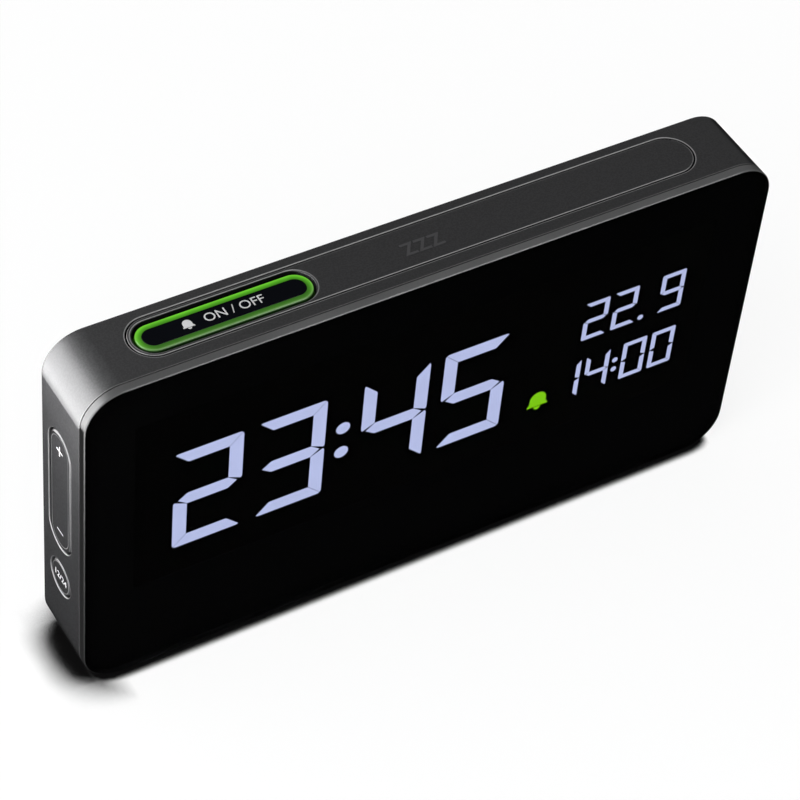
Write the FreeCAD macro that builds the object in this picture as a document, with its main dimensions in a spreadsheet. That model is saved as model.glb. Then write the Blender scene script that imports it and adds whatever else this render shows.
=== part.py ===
import FreeCAD, Part
import os
import re
import Sketcher
from FreeCAD import Rotation, Vector

# Slim digital alarm clock that stands on its long edge.
# Millimetres. +X to the viewer's right, +Y away from the viewer, +Z up.
# The origin is the middle of the base, on the surface that the feet stand on.

# Driving sizes, each written once and kept in the document's sheet.
SIZES = {
    # Case
    "case_width": 200.6,
    "case_height": 106.8,
    "case_depth": 24.0,
    "corner_radius": 11.0,
    "case_wall": 2.2,
    "rear_round": 0.8,
    "window_chamfer": 0.2,
    "fit_gap": 0.15,
    # Front rim and lens
    "rim_depth": 2.4,
    "rim_chamfer": 0.25,
    "rim_width": 0.3,
    "lens_thickness": 1.6,
    "lens_gap": 0.05,
    "lens_ledge": 3.0,
    "seam_gap": 0.3,
    "spigot_length": 1.3,
    # Bulkhead behind the rim, with the posts for the cover's screws
    "bulkhead_thickness": 1.4,
    "post_diameter": 6.4,
    "post_inset": 8.6,
    "post_rib_thickness": 1.2,
    "post_rib_drop": 3.0,
    "cover_screw_diameter": 2.8,
    "cover_screw_length": 12.0,
    "cover_screw_head": 5.2,
    "screw_gap": 0.1,
    "screw_end_gap": 0.5,
    # Display module
    "display_side_margin": 12.3,
    "display_floor_margin": 28.0,
    "display_top_margin": 14.0,
    "frame_gap": 0.3,
    "frame_wall": 1.6,
    "frame_step": 2.0,
    "frame_flange": 1.5,
    "display_setback": 0.2,
    "glass_plate": 1.2,
    "glass_gap": 0.2,
    "film_thickness": 0.2,
    "guide_thickness": 2.2,
    "contact_strip_width": 2.0,
    "contact_strip_margin": 12.0,
    "strip_thickness": 1.0,
    "led_thickness": 0.8,
    "led_width": 3.0,
    "led_pitch": 8.0,
    # Main board
    "board_thickness": 1.6,
    "board_standoff": 1.6,
    "board_side_margin": 14.3,
    "board_floor_margin": 7.4,
    "board_top_margin": 6.6,
    "board_tongue_width": 96.0,
    "board_notch_gap": 1.6,
    "board_edge_gap": 0.4,
    "board_screw_diameter": 2.2,
    "board_screw_head": 4.0,
    "board_screw_head_height": 1.1,
    "board_boss_diameter": 5.0,
    "board_boss_drop": 8.9,
    "board_boss_rise": 17.4,
    "board_boss_side": 22.3,
    "chip_size": 12.0,
    "chip_thickness": 1.4,
    "chip_drop": 36.0,
    "crystal_length": 6.0,
    "crystal_diameter": 2.0,
    "crystal_offset": 12.0,
    # Switches on the boards
    "switch_size": 6.0,
    "switch_body": 3.4,
    "switch_height": 4.3,
    "plunger_diameter": 3.4,
    # Keys in general
    "key_line_back": 0.3,
    "key_gap": 0.35,
    "key_travel": 0.6,
    "key_rest_gap": 0.05,
    "key_skin": 1.6,
    "key_flange": 1.2,
    "key_flange_reach": 1.1,
    "peg_diameter": 3.0,
    # Snooze bar along the top
    "bar_window_width": 14.1,
    "bar_left_margin": 18.35,
    "bar_right_margin": 17.85,
    "bar_round": 0.25,
    "bar_actuator_drop": 3.3,
    "bar_switch_gap": 8.6,
    "bar_switch_end": 26.0,
    "spring_gap": 3.0,
    "spring_foot": 4.0,
    "spring_rise": 10.0,
    "spring_tip": 3.0,
    "spring_width": 4.0,
    "spring_thickness": 0.3,
    # Alarm key in its own window in the bar
    "alarm_window_length": 49.8,
    "alarm_window_width": 11.5,
    "alarm_window_round": 0.4,
    "alarm_end_gap": 1.6,
    "alarm_recess": 0.3,
    "alarm_side_gap": 1.05,
    "alarm_tip_gap": 0.65,
    "light_ring_width": 1.7,
    "light_ring_round": 0.5,
    "alarm_cup_depth": 3.2,
    "alarm_cap_gap": 0.05,
    "alarm_cap_round": 0.15,
    "alarm_flange_catch": 0.6,
    "alarm_flange_drop": 0.9,
    "hook_spread": 34.0,
    "hook_width": 1.4,
    "hook_depth": 2.4,
    "hook_catch": 0.7,
    "hook_height": 1.0,
    "hook_gap": 0.3,
    "alarm_led_size": 2.0,
    "alarm_led_height": 0.8,
    "alarm_led_first": 8.0,
    "alarm_led_pitch": 5.0,
    # Boards under the top and side keys, and the slots that hold them
    "top_board_width": 7.6,
    "top_board_left_margin": 22.3,
    "top_board_right_margin": 34.3,
    "side_board_width": 9.6,
    "side_board_end": 4.0,
    "slot_gap": 0.1,
    "slot_grip": 3.5,
    "slot_wall": 1.4,
    # Keys on the left side
    "side_window_width": 12.7,
    "rocker_window_length": 42.7,
    "rocker_drop": 44.4,
    "rocker_thickness": 3.0,
    "rocker_peg_spread": 34.0,
    "side_actuator_drop": 1.6,
    "pivot_drop": 1.9,
    "pivot_diameter": 1.5,
    "pivot_gap": 0.05,
    "pivot_wall": 1.6,
    "format_window_diameter": 11.4,
    "format_drop": 33.0,
    "side_key_round": 0.7,
    # Rear cover and battery bay
    "cover_thickness": 2.0,
    "bay_wall": 1.2,
    "bay_length": 52.0,
    "bay_floor_margin": 7.4,
    "cell_diameter": 10.5,
    "cell_length": 43.7,
    "cell_gap": 0.5,
    "cell_clearance": 0.3,
    "cell_nub_diameter": 3.8,
    "cell_nub_length": 0.8,
    "contact_size": 8.0,
    "contact_thickness": 0.4,
    "contact_boss": 1.0,
    "contact_end_gap": 0.05,
    "leaf_tab": 1.2,
    # Battery door
    "door_thickness": 1.4,
    "door_gap": 0.2,
    "door_end_land": 1.5,
    "door_side_land": 2.6,
    "hinge_hook_width": 6.0,
    "hinge_hook_spread": 30.0,
    "hinge_hook_thickness": 1.0,
    "hinge_hook_rise": 0.4,
    "hinge_hook_neck": 1.2,
    "hinge_hook_reach": 1.8,
    "hinge_hook_drop": 2.0,
    "notch_gap": 0.3,
    "latch_width": 9.0,
    "latch_thickness": 1.0,
    "latch_drop": 4.0,
    "latch_room": 1.0,
    "nail_scoop_length": 12.0,
    "nail_scoop_width": 3.0,
    "nail_scoop_depth": 1.0,
    # Speaker
    "speaker_diameter": 28.0,
    "speaker_rim": 1.2,
    "speaker_basket": 22.0,
    "speaker_basket_depth": 3.2,
    "speaker_magnet": 13.0,
    "speaker_depth": 5.6,
    "speaker_margin": 42.3,
    "speaker_height": 34.0,
    "speaker_collar": 1.4,
    "speaker_collar_height": 3.0,
    "grille_radius": 11.0,
    "grille_slot": 1.4,
    # Keys on the rear
    "set_key_diameter": 8.0,
    "set_key_drop": 18.0,
    "set_key_margin": 52.3,
    "set_key_pitch": 14.0,
    "set_key_chamfer": 0.3,
    # Supply inlet
    "inlet_width": 9.0,
    "inlet_tall": 11.0,
    "inlet_nose": 7.4,
    "inlet_nose_gap": 0.2,
    "inlet_nose_length": 1.2,
    "inlet_bore": 5.7,
    "inlet_bore_depth": 9.5,
    "inlet_pin": 2.0,
    "inlet_pin_recess": 1.5,
    "inlet_margin": 34.3,
    "inlet_height": 16.0,
    # Wall hangers
    "hanger_across": 60.0,
    "hanger_drop": 28.8,
    "hanger_hole": 8.6,
    "hanger_slot": 4.4,
    "hanger_slot_length": 8.0,
    "hanger_room": 1.2,
    "hanger_depth": 4.6,
    # Flat ribbons between the boards
    "ribbon_width": 10.0,
    "ribbon_thickness": 0.3,
    "ribbon_socket": 4.0,
    "ribbon_socket_height": 2.0,
    "ribbon_margin": 26.0,
    "ribbon_drop": 12.0,
    "ribbon_level": 8.0,
    "ribbon_run": 6.0,
    # Feet
    "foot_proud": 0.6,
    "foot_length": 30.0,
    "foot_width": 13.0,
    "foot_recess": 1.0,
    "foot_gap": 0.1,
    "foot_inset": 28.0,
}

# Places worked out from the sizes, each named once and used wherever pieces meet.
PLACES = {
    "front_plane": "-case_depth / 2",
    "rear_plane": "case_depth / 2",
    "rim_back": "front_plane + rim_depth",
    "seam_plane": "rim_back + seam_gap",
    "bulkhead_front": "seam_plane + spigot_length",
    "bulkhead_back": "bulkhead_front + bulkhead_thickness",
    "cover_inner": "rear_plane - cover_thickness",
    "case_floor": "foot_proud",
    "case_top": "foot_proud + case_height",
    "case_middle": "foot_proud + case_height / 2",
    "left_side": "-case_width / 2",
    "inner_left": "left_side + case_wall",
    "inner_top": "case_top - case_wall",
    "inner_width": "case_width - 2 * case_wall",
    "inner_height": "case_height - 2 * case_wall",
    "inner_radius": "corner_radius - case_wall",
    "wall_middle": "(seam_plane + rear_plane) / 2",
    "key_line": "wall_middle + key_line_back",
    "screw_tip": "rear_plane - cover_screw_length",
    # Display module and main board
    "lens_back": "front_plane + lens_thickness",
    "frame_width": "case_width - 2 * display_side_margin",
    "frame_height": "case_height - display_floor_margin - display_top_margin",
    "frame_middle": "case_floor + display_floor_margin + frame_height / 2",
    "frame_top": "case_top - display_top_margin",
    "glass_front": "lens_back + display_setback",
    "glass_ledge": "glass_front + glass_plate",
    "glass_back": "glass_ledge + glass_plate",
    "film_back": "glass_back + film_thickness",
    "guide_back": "film_back + guide_thickness",
    "reflector_back": "guide_back + film_thickness",
    "board_front": "bulkhead_back + board_standoff",
    "board_back": "board_front + board_thickness",
    "glass_width": "frame_width - 2 * frame_wall - 2 * glass_gap",
    "glass_height": "frame_height - 2 * frame_wall - 2 * glass_gap",
    "stack_width": "glass_width - 2 * frame_step",
    "stack_height": "glass_height - 2 * contact_strip_width - 4 * glass_gap",
    "strip_left": "-stack_width / 2",
    "guide_left": "strip_left + strip_thickness + led_thickness + glass_gap",
    # Top keys
    "bar_left": "left_side + bar_left_margin",
    "bar_right": "case_width / 2 - bar_right_margin",
    "bar_middle": "(bar_left + bar_right) / 2",
    "bar_length": "bar_right - bar_left - 2 * key_gap",
    "bar_width": "bar_window_width - 2 * key_gap",
    "bar_underside": "case_top - key_skin",
    "flange_bottom": "inner_top - key_flange",
    "alarm_middle": "bar_left + alarm_end_gap + alarm_window_length / 2",
    "alarm_end": "alarm_middle + alarm_window_length / 2",
    "alarm_top": "case_top - alarm_recess",
    "ring_length": "alarm_window_length - 2 * alarm_tip_gap",
    "ring_width": "alarm_window_width - 2 * alarm_side_gap",
    "cup_length": "ring_length - 2 * light_ring_width",
    "cup_width": "ring_width - 2 * light_ring_width",
    "cup_floor": "alarm_top - alarm_cup_depth",
    "alarm_flange_top": "flange_bottom - alarm_flange_drop",
    "alarm_flange_reach": "alarm_side_gap + alarm_flange_catch",
    "top_actuators": "inner_top - bar_actuator_drop",
    "top_board_face": "top_actuators - key_travel - key_rest_gap - switch_height",
    "top_board_back": "top_board_face - board_thickness",
    "top_board_left": "left_side + top_board_left_margin",
    "top_board_right": "case_width / 2 - top_board_right_margin",
    "snooze_switch_left": "alarm_end + bar_switch_gap",
    "snooze_switch_right": "bar_right - bar_switch_end",
    # Side keys
    "rocker_middle": "case_top - rocker_drop",
    "format_middle": "rocker_middle - format_drop",
    "side_actuators": "inner_left + side_actuator_drop",
    "ribbon_across": "top_board_right - ribbon_margin",
    "side_board_face": "side_actuators + key_travel + key_rest_gap + switch_height",
    "side_board_back": "side_board_face + board_thickness",
    "side_board_bottom": "format_middle - switch_size / 2 - side_board_end",
    "side_board_top": "rocker_middle + rocker_peg_spread / 2 + switch_size / 2 + side_board_end",
    "pivot_across": "inner_left + pivot_drop",
    "pivot_block": "pivot_diameter / 2 + pivot_wall",
    # Rear
    "door_inner": "rear_plane - door_thickness",
    "cell_line": "door_inner - cell_clearance - cell_diameter / 2",
    "bay_floor": "cell_line - cell_diameter / 2 - cell_clearance",
    "bay_front": "bay_floor - bay_wall",
    "bay_height": "3 * cell_diameter + 2 * cell_gap + 2 * cell_clearance",
    "bay_bottom": "case_floor + bay_floor_margin",
    "bay_middle": "bay_bottom + bay_height / 2",
    "bay_top": "bay_bottom + bay_height",
    "door_width": "bay_length + 2 * door_end_land",
    "door_height": "bay_height + 2 * door_side_land",
    "door_bottom": "bay_bottom - door_side_land",
    "door_top": "bay_top + door_side_land",
    "set_actuators": "board_back + switch_height + key_rest_gap + key_travel",
    "set_key_middle": "hanger_middle - set_key_drop",
    "speaker_across": "case_width / 2 - speaker_margin",
    "speaker_middle": "case_floor + speaker_height",
    "inlet_across": "left_side + inlet_margin",
    "inlet_middle": "case_floor + inlet_height",
    "nose_end": "cover_inner + inlet_nose_length",
    "hanger_middle": "case_top - hanger_drop",
    "hanger_half": "hanger_hole / 2 + hanger_room",
}

WORD = re.compile(r"[a-z]+(?:_[a-z]+)*")
PLANES = {"XY": "XY_Plane", "XZ": "XZ_Plane", "YZ": "YZ_Plane"}
QUARTER_TURN = 1.5707963267948966
CLEAR = 1.0
GRILLE_SLOTS = 7

document = FreeCAD.newDocument("DigitalClock")
parts = []


def make_sheet():
    """Put every driving size in the sheet, under its own alias."""
    sheet = document.addObject("Spreadsheet::Sheet", "Sizes")
    for row, (name, value) in enumerate(SIZES.items(), start=1):
        sheet.set(f"A{row}", name)
        sheet.set(f"B{row}", str(value))
        sheet.setAlias(f"B{row}", name)
    document.recompute()


def formula(text):
    """Spell a line of plain words out as an expression on the sheet."""
    def spell(match):
        word = match.group()
        if word in PLACES:
            return "(" + formula(PLACES[word]) + ")"
        return "Sizes." + word if word in SIZES else word
    return WORD.sub(spell, str(text))


def bind(sketch, constraint, text):
    """Add a dimension to the sketch and tie it to the sheet."""
    index = sketch.addConstraint(constraint)
    sketch.setExpression(f"Constraints[{index}]", formula(text))


# Profiles. All but the outline are centred on the sketch's own origin.
def circle(diameter):
    def draw(sketch):
        edge = sketch.addGeometry(Part.Circle(Vector(0, 0, 0), Vector(0, 0, 1), 2))
        sketch.addConstraint(Sketcher.Constraint("Coincident", edge, 3, -1, 1))
        bind(sketch, Sketcher.Constraint("Diameter", edge, 4), diameter)
    return draw


def outline(corners):
    """A closed polygon through corners that are given in words."""
    def draw(sketch):
        count = len(corners)
        spin = [Rotation(Vector(0, 0, 1), 360 * turn / count) for turn in range(count + 1)]
        start = [turn.multVec(Vector(1, 0, 0)) for turn in spin]
        lines = [sketch.addGeometry(Part.LineSegment(one, other)) for one, other in zip(start, start[1:])]
        sketch.addConstraint([Sketcher.Constraint("Coincident", one, 2, other, 1)
                              for one, other in zip(lines, lines[1:] + lines[:1])])
        for line, (across, up) in zip(lines, corners):
            bind(sketch, Sketcher.Constraint("DistanceX", -1, 1, line, 1, 1), across)
            bind(sketch, Sketcher.Constraint("DistanceY", -1, 1, line, 1, 1), up)
    return draw


def between(left, right, bottom, top):
    return outline([(left, bottom), (right, bottom), (right, top), (left, top)])


def rectangle(width, height):
    half_width, half_height = f"({width}) / 2", f"({height}) / 2"
    return between("-" + half_width, half_width, "-" + half_height, half_height)


def rounded(width, height, radius):
    """A rectangle with round corners."""
    def draw(sketch):
        half_w, half_h, r = 10.0, 6.0, 1.0
        ends = [((-half_w + r, -half_h), (half_w - r, -half_h)),
                ((half_w, -half_h + r), (half_w, half_h - r)),
                ((half_w - r, half_h), (-half_w + r, half_h)),
                ((-half_w, half_h - r), (-half_w, -half_h + r))]
        middles = [(half_w - r, -half_h + r), (half_w - r, half_h - r),
                   (-half_w + r, half_h - r), (-half_w + r, -half_h + r)]
        lines, arcs = [], []
        for turn, ((start, end), middle) in enumerate(zip(ends, middles)):
            lines.append(sketch.addGeometry(Part.LineSegment(Vector(*start, 0), Vector(*end, 0))))
            corner = Part.Circle(Vector(*middle, 0), Vector(0, 0, 1), r)
            arc = Part.ArcOfCircle(corner, (turn - 1) * QUARTER_TURN, turn * QUARTER_TURN)
            arcs.append(sketch.addGeometry(arc))
        rules = [Sketcher.Constraint("Equal", arcs[0], arc) for arc in arcs[1:]]
        for line, arc, following in zip(lines, arcs, lines[1:] + lines[:1]):
            rules.append(Sketcher.Constraint("Tangent", line, 2, arc, 1))
            rules.append(Sketcher.Constraint("Tangent", arc, 2, following, 1))
        rules += [Sketcher.Constraint("Horizontal", line) for line in lines[0::2]]
        rules += [Sketcher.Constraint("Vertical", line) for line in lines[1::2]]
        rules.append(Sketcher.Constraint("Symmetric", lines[0], 1, lines[2], 1, -1, 1))
        sketch.addConstraint(rules)
        bind(sketch, Sketcher.Constraint("DistanceX", arcs[2], 2, arcs[0], 2, 2 * half_w), width)
        bind(sketch, Sketcher.Constraint("DistanceY", arcs[0], 1, arcs[1], 2, 2 * half_h), height)
        bind(sketch, Sketcher.Constraint("Radius", arcs[0], r), radius)
    return draw


def stadium(length, width, upright=False):
    """Two half circles joined by straight sides."""
    def draw(sketch):
        half, r = 6.0, 2.0
        turn = QUARTER_TURN if upright else 0.0
        spin = Rotation(Vector(0, 0, 1), 90 if upright else 0)
        near, far = spin.multVec(Vector(half, 0, 0)), spin.multVec(Vector(-half, 0, 0))
        side = spin.multVec(Vector(0, r, 0))
        near_cap, far_cap = Part.Circle(near, Vector(0, 0, 1), r), Part.Circle(far, Vector(0, 0, 1), r)
        chain = [sketch.addGeometry(shape) for shape in (
            Part.LineSegment(far - side, near - side),
            Part.ArcOfCircle(near_cap, turn - QUARTER_TURN, turn + QUARTER_TURN),
            Part.LineSegment(near + side, far + side),
            Part.ArcOfCircle(far_cap, turn + QUARTER_TURN, turn + 3 * QUARTER_TURN))]
        rules = [Sketcher.Constraint("Tangent", one, 2, other, 1)
                 for one, other in zip(chain, chain[1:] + chain[:1])]
        rules.append(Sketcher.Constraint("Vertical" if upright else "Horizontal", chain[0]))
        rules.append(Sketcher.Constraint("Equal", chain[1], chain[3]))
        rules.append(Sketcher.Constraint("Symmetric", chain[1], 3, chain[3], 3, -1, 1))
        sketch.addConstraint(rules)
        kind = "DistanceY" if upright else "DistanceX"
        straight = Sketcher.Constraint(kind, chain[3], 3, chain[1], 3, 2 * half)
        bind(sketch, straight, f"({length}) - ({width})")
        bind(sketch, Sketcher.Constraint("Radius", chain[1], r), f"({width}) / 2")
    return draw


# Features
def lay_out(body, plane, profile, level, at):
    """Draw a profile on one of the body's own planes, moved to its place."""
    sketch = body.newObject("Sketcher::SketchObject", body.Name + "_sketch")
    origin = next(item for item in body.Origin.OriginFeatures if item.Role == PLANES[plane])
    sketch.AttachmentSupport = [(origin, "")]
    sketch.MapMode = "FlatFace"
    profile(sketch)
    along = f"-({level})" if plane == "XZ" else level
    for axis, place in zip("xyz", (*at, along)):
        sketch.setExpression(f"AttachmentOffset.Base.{axis}", formula(place))
    return sketch


def add(body, plane, profile, low, high, at=("0", "0")):
    """Pad a profile from low to high along the axis that crosses the plane."""
    sketch = lay_out(body, plane, profile, high if plane == "XZ" else low, at)
    feature = body.newObject("PartDesign::Pad", body.Name + "_pad")
    feature.Profile = sketch
    feature.setExpression("Length", formula(f"({high}) - ({low})"))
    return feature


def cut(body, plane, profile, low, high, at=("0", "0")):
    """Pocket a profile from low to high along the axis that crosses the plane."""
    sketch = lay_out(body, plane, profile, low if plane == "XZ" else high, at)
    feature = body.newObject("PartDesign::Pocket", body.Name + "_pocket")
    feature.Profile = sketch
    feature.setExpression("Length", formula(f"({high}) - ({low})"))
    return feature


def edges_at(feature, side):
    """Names of the edges that lie wholly at one end of the feature, such as zmax."""
    document.recompute()
    axis, pick = side[0], {"min": min, "max": max}[side[1:]]
    level = pick(getattr(vertex.Point, axis) for vertex in feature.Shape.Vertexes)
    names = []
    for number, edge in enumerate(feature.Shape.Edges, start=1):
        marks = [vertex.Point for vertex in edge.Vertexes] + [edge.CenterOfMass]
        if all(abs(getattr(mark, axis) - level) < 1e-5 for mark in marks):
            names.append(f"Edge{number}")
    return names


def new_edges_at(feature, side):
    """The same, less the edges that were there before the feature."""
    names = edges_at(feature, side)
    old = [edge.CenterOfMass for edge in feature.BaseFeature.Shape.Edges]
    middles = {name: feature.Shape.getElement(name).CenterOfMass for name in names}
    return [name for name, middle in middles.items()
            if all(middle.distanceToPoint(point) > 0.01 for point in old)]


def soften(body, feature, names, size, kind="Fillet"):
    """Fillet or chamfer the named edges of the feature."""
    softened = body.newObject("PartDesign::" + kind, body.Name + "_" + kind.lower())
    softened.Base = (feature, names)
    softened.setExpression("Radius" if kind == "Fillet" else "Size", formula(size))
    return softened


def new_body(name):
    body = document.addObject("PartDesign::Body", name)
    body.Label = name
    parts.append(body)
    return body


def block(name, low, high):
    """A box between two corners that are given in words."""
    solid = document.addObject("Part::Box", name)
    for axis, size, start, end in zip("xyz", ("Length", "Width", "Height"), low, high):
        solid.setExpression(f"Placement.Base.{axis}", formula(start))
        solid.setExpression(size, formula(f"({end}) - ({start})"))
    return solid


TURNS = {"-X": (Vector(0, 1, 0), -90), "+X": (Vector(0, 1, 0), 90), "+Y": (Vector(1, 0, 0), -90),
         "-Y": (Vector(1, 0, 0), 90), "+Z": (Vector(0, 0, 1), 0)}


def rod(name, start, axis, diameter, length):
    """A cylinder from start along an axis."""
    solid = document.addObject("Part::Cylinder", name)
    solid.Placement.Rotation = Rotation(*TURNS[axis])
    for letter, place in zip("xyz", start):
        solid.setExpression(f"Placement.Base.{letter}", formula(place))
    solid.setExpression("Radius", formula(f"({diameter}) / 2"))
    solid.setExpression("Height", formula(length))
    return solid


def cone(name, start, axis, diameter, end_diameter, length):
    """A cone from start along an axis."""
    solid = document.addObject("Part::Cone", name)
    solid.Placement.Rotation = Rotation(*TURNS[axis])
    for letter, place in zip("xyz", start):
        solid.setExpression(f"Placement.Base.{letter}", formula(place))
    solid.setExpression("Radius1", formula(f"({diameter}) / 2"))
    solid.setExpression("Radius2", formula(f"({end_diameter}) / 2"))
    solid.setExpression("Height", formula(length))
    return solid


def fuse(name, solids):
    union = document.addObject("Part::MultiFuse", name)
    union.Shapes = solids
    return union


def group(name, solids):
    """One sub-part of several like solids, such as a set of screws."""
    compound = document.addObject("Part::Compound", name)
    compound.Label = name
    compound.Links = solids
    parts.append(compound)


# Places of what repeats
def cover_screw_places():
    side, floor, top = "(case_width / 2 - post_inset)", "case_floor + post_inset", "case_top - post_inset"
    return [("-" + side, floor), (side, floor), ("-" + side, top), (side, top)]


def board_screw_places():
    side, tongue = "(case_width / 2 - board_boss_side)", "(board_tongue_width / 2 - board_boss_diameter)"
    low, high = "case_floor + board_boss_rise", "case_top - board_boss_drop"
    return [("-" + side, low), (side, low), ("-" + tongue, high), (tongue, high)]


def set_key_places():
    names = ("time_set_button", "alarm_set_button", "date_set_button")
    return {name: f"(left_side + set_key_margin - {number} * set_key_pitch)" for number, name in enumerate(names)}


# Front
def make_rim():
    """Front rim that carries the lens, with a spigot that plugs into the case."""
    body = new_body("front_rim")
    middle = ("0", "case_middle")
    edge = rounded("case_width", "case_height", "corner_radius")
    blank = add(body, "XZ", edge, "front_plane", "rim_back", middle)
    soften(body, blank, edges_at(blank, "ymin"), "rim_chamfer", "Chamfer")
    spigot = rounded("inner_width - 2 * fit_gap", "inner_height - 2 * fit_gap", "inner_radius - fit_gap")
    add(body, "XZ", spigot, "rim_back", "bulkhead_front", middle)
    inset = "(rim_width - lens_gap)"
    seat = rounded(f"case_width - 2 * {inset}", f"case_height - 2 * {inset}", f"corner_radius - {inset}")
    cut(body, "XZ", seat, f"front_plane - {CLEAR}", "lens_back", middle)
    inset = "(rim_width + lens_ledge)"
    window = rounded(f"case_width - 2 * {inset}", f"case_height - 2 * {inset}", f"corner_radius - {inset}")
    cut(body, "XZ", window, f"front_plane - {CLEAR}", f"bulkhead_front + {CLEAR}", middle)


def make_lens():
    """Smoked front lens, flush with the rim."""
    body = new_body("front_lens")
    edge = rounded("case_width - 2 * rim_width", "case_height - 2 * rim_width", "corner_radius - rim_width")
    add(body, "XZ", edge, "front_plane", "lens_back", ("0", "case_middle"))


# Case
def make_housing():
    """Moulded band round the clock, with a bulkhead, key windows, posts and board slots."""
    body = new_body("housing")
    middle = ("0", "case_middle")
    edge = rounded("case_width", "case_height", "corner_radius")
    blank = add(body, "XZ", edge, "seam_plane", "rear_plane", middle)
    soften(body, blank, edges_at(blank, "ymax"), "rear_round")
    inside = rounded("inner_width", "inner_height", "inner_radius")
    cut(body, "XZ", inside, "bulkhead_back", f"rear_plane + {CLEAR}", middle)
    cut(body, "XZ", inside, f"seam_plane - {CLEAR}", "bulkhead_front", middle)
    window = rectangle("frame_width + 2 * frame_gap", "frame_height + 2 * frame_gap")
    cut(body, "XZ", window, f"bulkhead_front - {CLEAR}", f"bulkhead_back + {CLEAR}", ("0", "frame_middle"))
    add_posts(body)
    add_board_slots(body)
    add_pivot_ears(body)
    cut_key_windows(body)
    for side in ("-", ""):
        recess = stadium("foot_length + 2 * foot_gap", "foot_width + 2 * foot_gap")
        place = (f"{side}(case_width / 2 - foot_inset)", "wall_middle")
        cut(body, "XY", recess, f"case_floor - {CLEAR}", "case_floor + foot_recess", place)


def add_posts(body):
    """Ribbed posts for the cover's screws, and bosses for the main board's."""
    for place in cover_screw_places():
        across, up = place
        walls = ("inner_left", across) if across.startswith("-") else (across, "-inner_left")
        rib = between(*walls, f"{up} - post_rib_thickness / 2", f"{up} + post_rib_thickness / 2")
        add(body, "XZ", rib, "bulkhead_back", "cover_inner - post_rib_drop")
        add(body, "XZ", circle("post_diameter"), "bulkhead_back", "cover_inner", place)
        bore = circle("cover_screw_diameter + 2 * screw_gap")
        cut(body, "XZ", bore, "screw_tip - screw_end_gap", f"cover_inner + {CLEAR}", place)
    for place in board_screw_places():
        add(body, "XZ", circle("board_boss_diameter"), "bulkhead_back", "board_front", place)
        bore = circle("board_screw_diameter + 2 * screw_gap")
        cut(body, "XZ", bore, "bulkhead_front + screw_end_gap", f"board_front + {CLEAR}", place)


def add_board_slots(body):
    """Slotted blocks behind the bulkhead that hold the top and side boards by their ends."""
    thick = "board_thickness / 2 + slot_gap"
    for end, out in (("top_board_left", "-"), ("top_board_right", "+")):
        tip, grip = f"{end} {out} slot_wall", f"{end} {out} (-slot_grip)"
        level = "(top_board_back + board_thickness / 2)"
        left, right = (tip, grip) if out == "-" else (grip, tip)
        solid = between(left, right, f"{level} - {thick} - slot_wall", f"{level} + {thick} + slot_wall")
        add(body, "XZ", solid, "bulkhead_back", "key_line + top_board_width / 2")
        left, right = (f"{end} - slot_gap", grip) if out == "-" else (grip, f"{end} + slot_gap")
        slot = between(f"{left}", f"{right}", f"{level} - ({thick})", f"{level} + {thick}")
        cut(body, "XZ", slot, "key_line - top_board_width / 2", "cover_inner")
    for end, out in (("side_board_bottom", "-"), ("side_board_top", "+")):
        tip, grip = f"{end} {out} slot_wall", f"{end} {out} (-slot_grip)"
        level = "(side_board_face + board_thickness / 2)"
        low, high = (tip, grip) if out == "-" else (grip, tip)
        solid = between(f"{level} - {thick} - slot_wall", f"{level} + {thick} + slot_wall", low, high)
        add(body, "XZ", solid, "bulkhead_back", "key_line + side_board_width / 2")
        low, high = (f"{end} - slot_gap", grip) if out == "-" else (grip, f"{end} + slot_gap")
        slot = between(f"{level} - ({thick})", f"{level} + {thick}", low, high)
        cut(body, "XZ", slot, "key_line - side_board_width / 2", "cover_inner")


def add_pivot_ears(body):
    """Two ears on the left wall that carry the rocker's pin."""
    ear = between("inner_left", "pivot_across + pivot_block",
                  "rocker_middle - pivot_block", "rocker_middle + pivot_block")
    for low, high in (("bulkhead_back", "key_line - side_window_width / 2"),
                      ("key_line + side_window_width / 2", "cover_inner - fit_gap")):
        add(body, "XZ", ear, low, high)
        bore = circle("pivot_diameter + 2 * pivot_gap")
        cut(body, "XZ", bore, low, high, ("pivot_across", "rocker_middle"))


def cut_key_windows(body):
    """Windows for the top, rocker and round keys, with a fine chamfer."""
    bar = stadium("bar_right - bar_left", "bar_window_width")
    window = cut(body, "XY", bar, f"inner_top - {CLEAR}", "case_top", ("bar_middle", "key_line"))
    soften(body, window, new_edges_at(window, "zmax"), "window_chamfer", "Chamfer")
    rocker = stadium("rocker_window_length", "side_window_width", upright=True)
    window = cut(body, "YZ", rocker, "left_side", "inner_left", ("key_line", "rocker_middle"))
    soften(body, window, new_edges_at(window, "xmin"), "window_chamfer", "Chamfer")
    button = circle("format_window_diameter")
    window = cut(body, "YZ", button, "left_side", "inner_left", ("key_line", "format_middle"))
    soften(body, window, new_edges_at(window, "xmin"), "window_chamfer", "Chamfer")


def make_feet():
    """Two rubber pads set into the base."""
    for name, side in (("foot_left", "-"), ("foot_right", "")):
        body = new_body(name)
        place = (f"{side}(case_width / 2 - foot_inset)", "wall_middle")
        add(body, "XY", stadium("foot_length", "foot_width"), "0", "case_floor + foot_recess", place)


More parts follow.
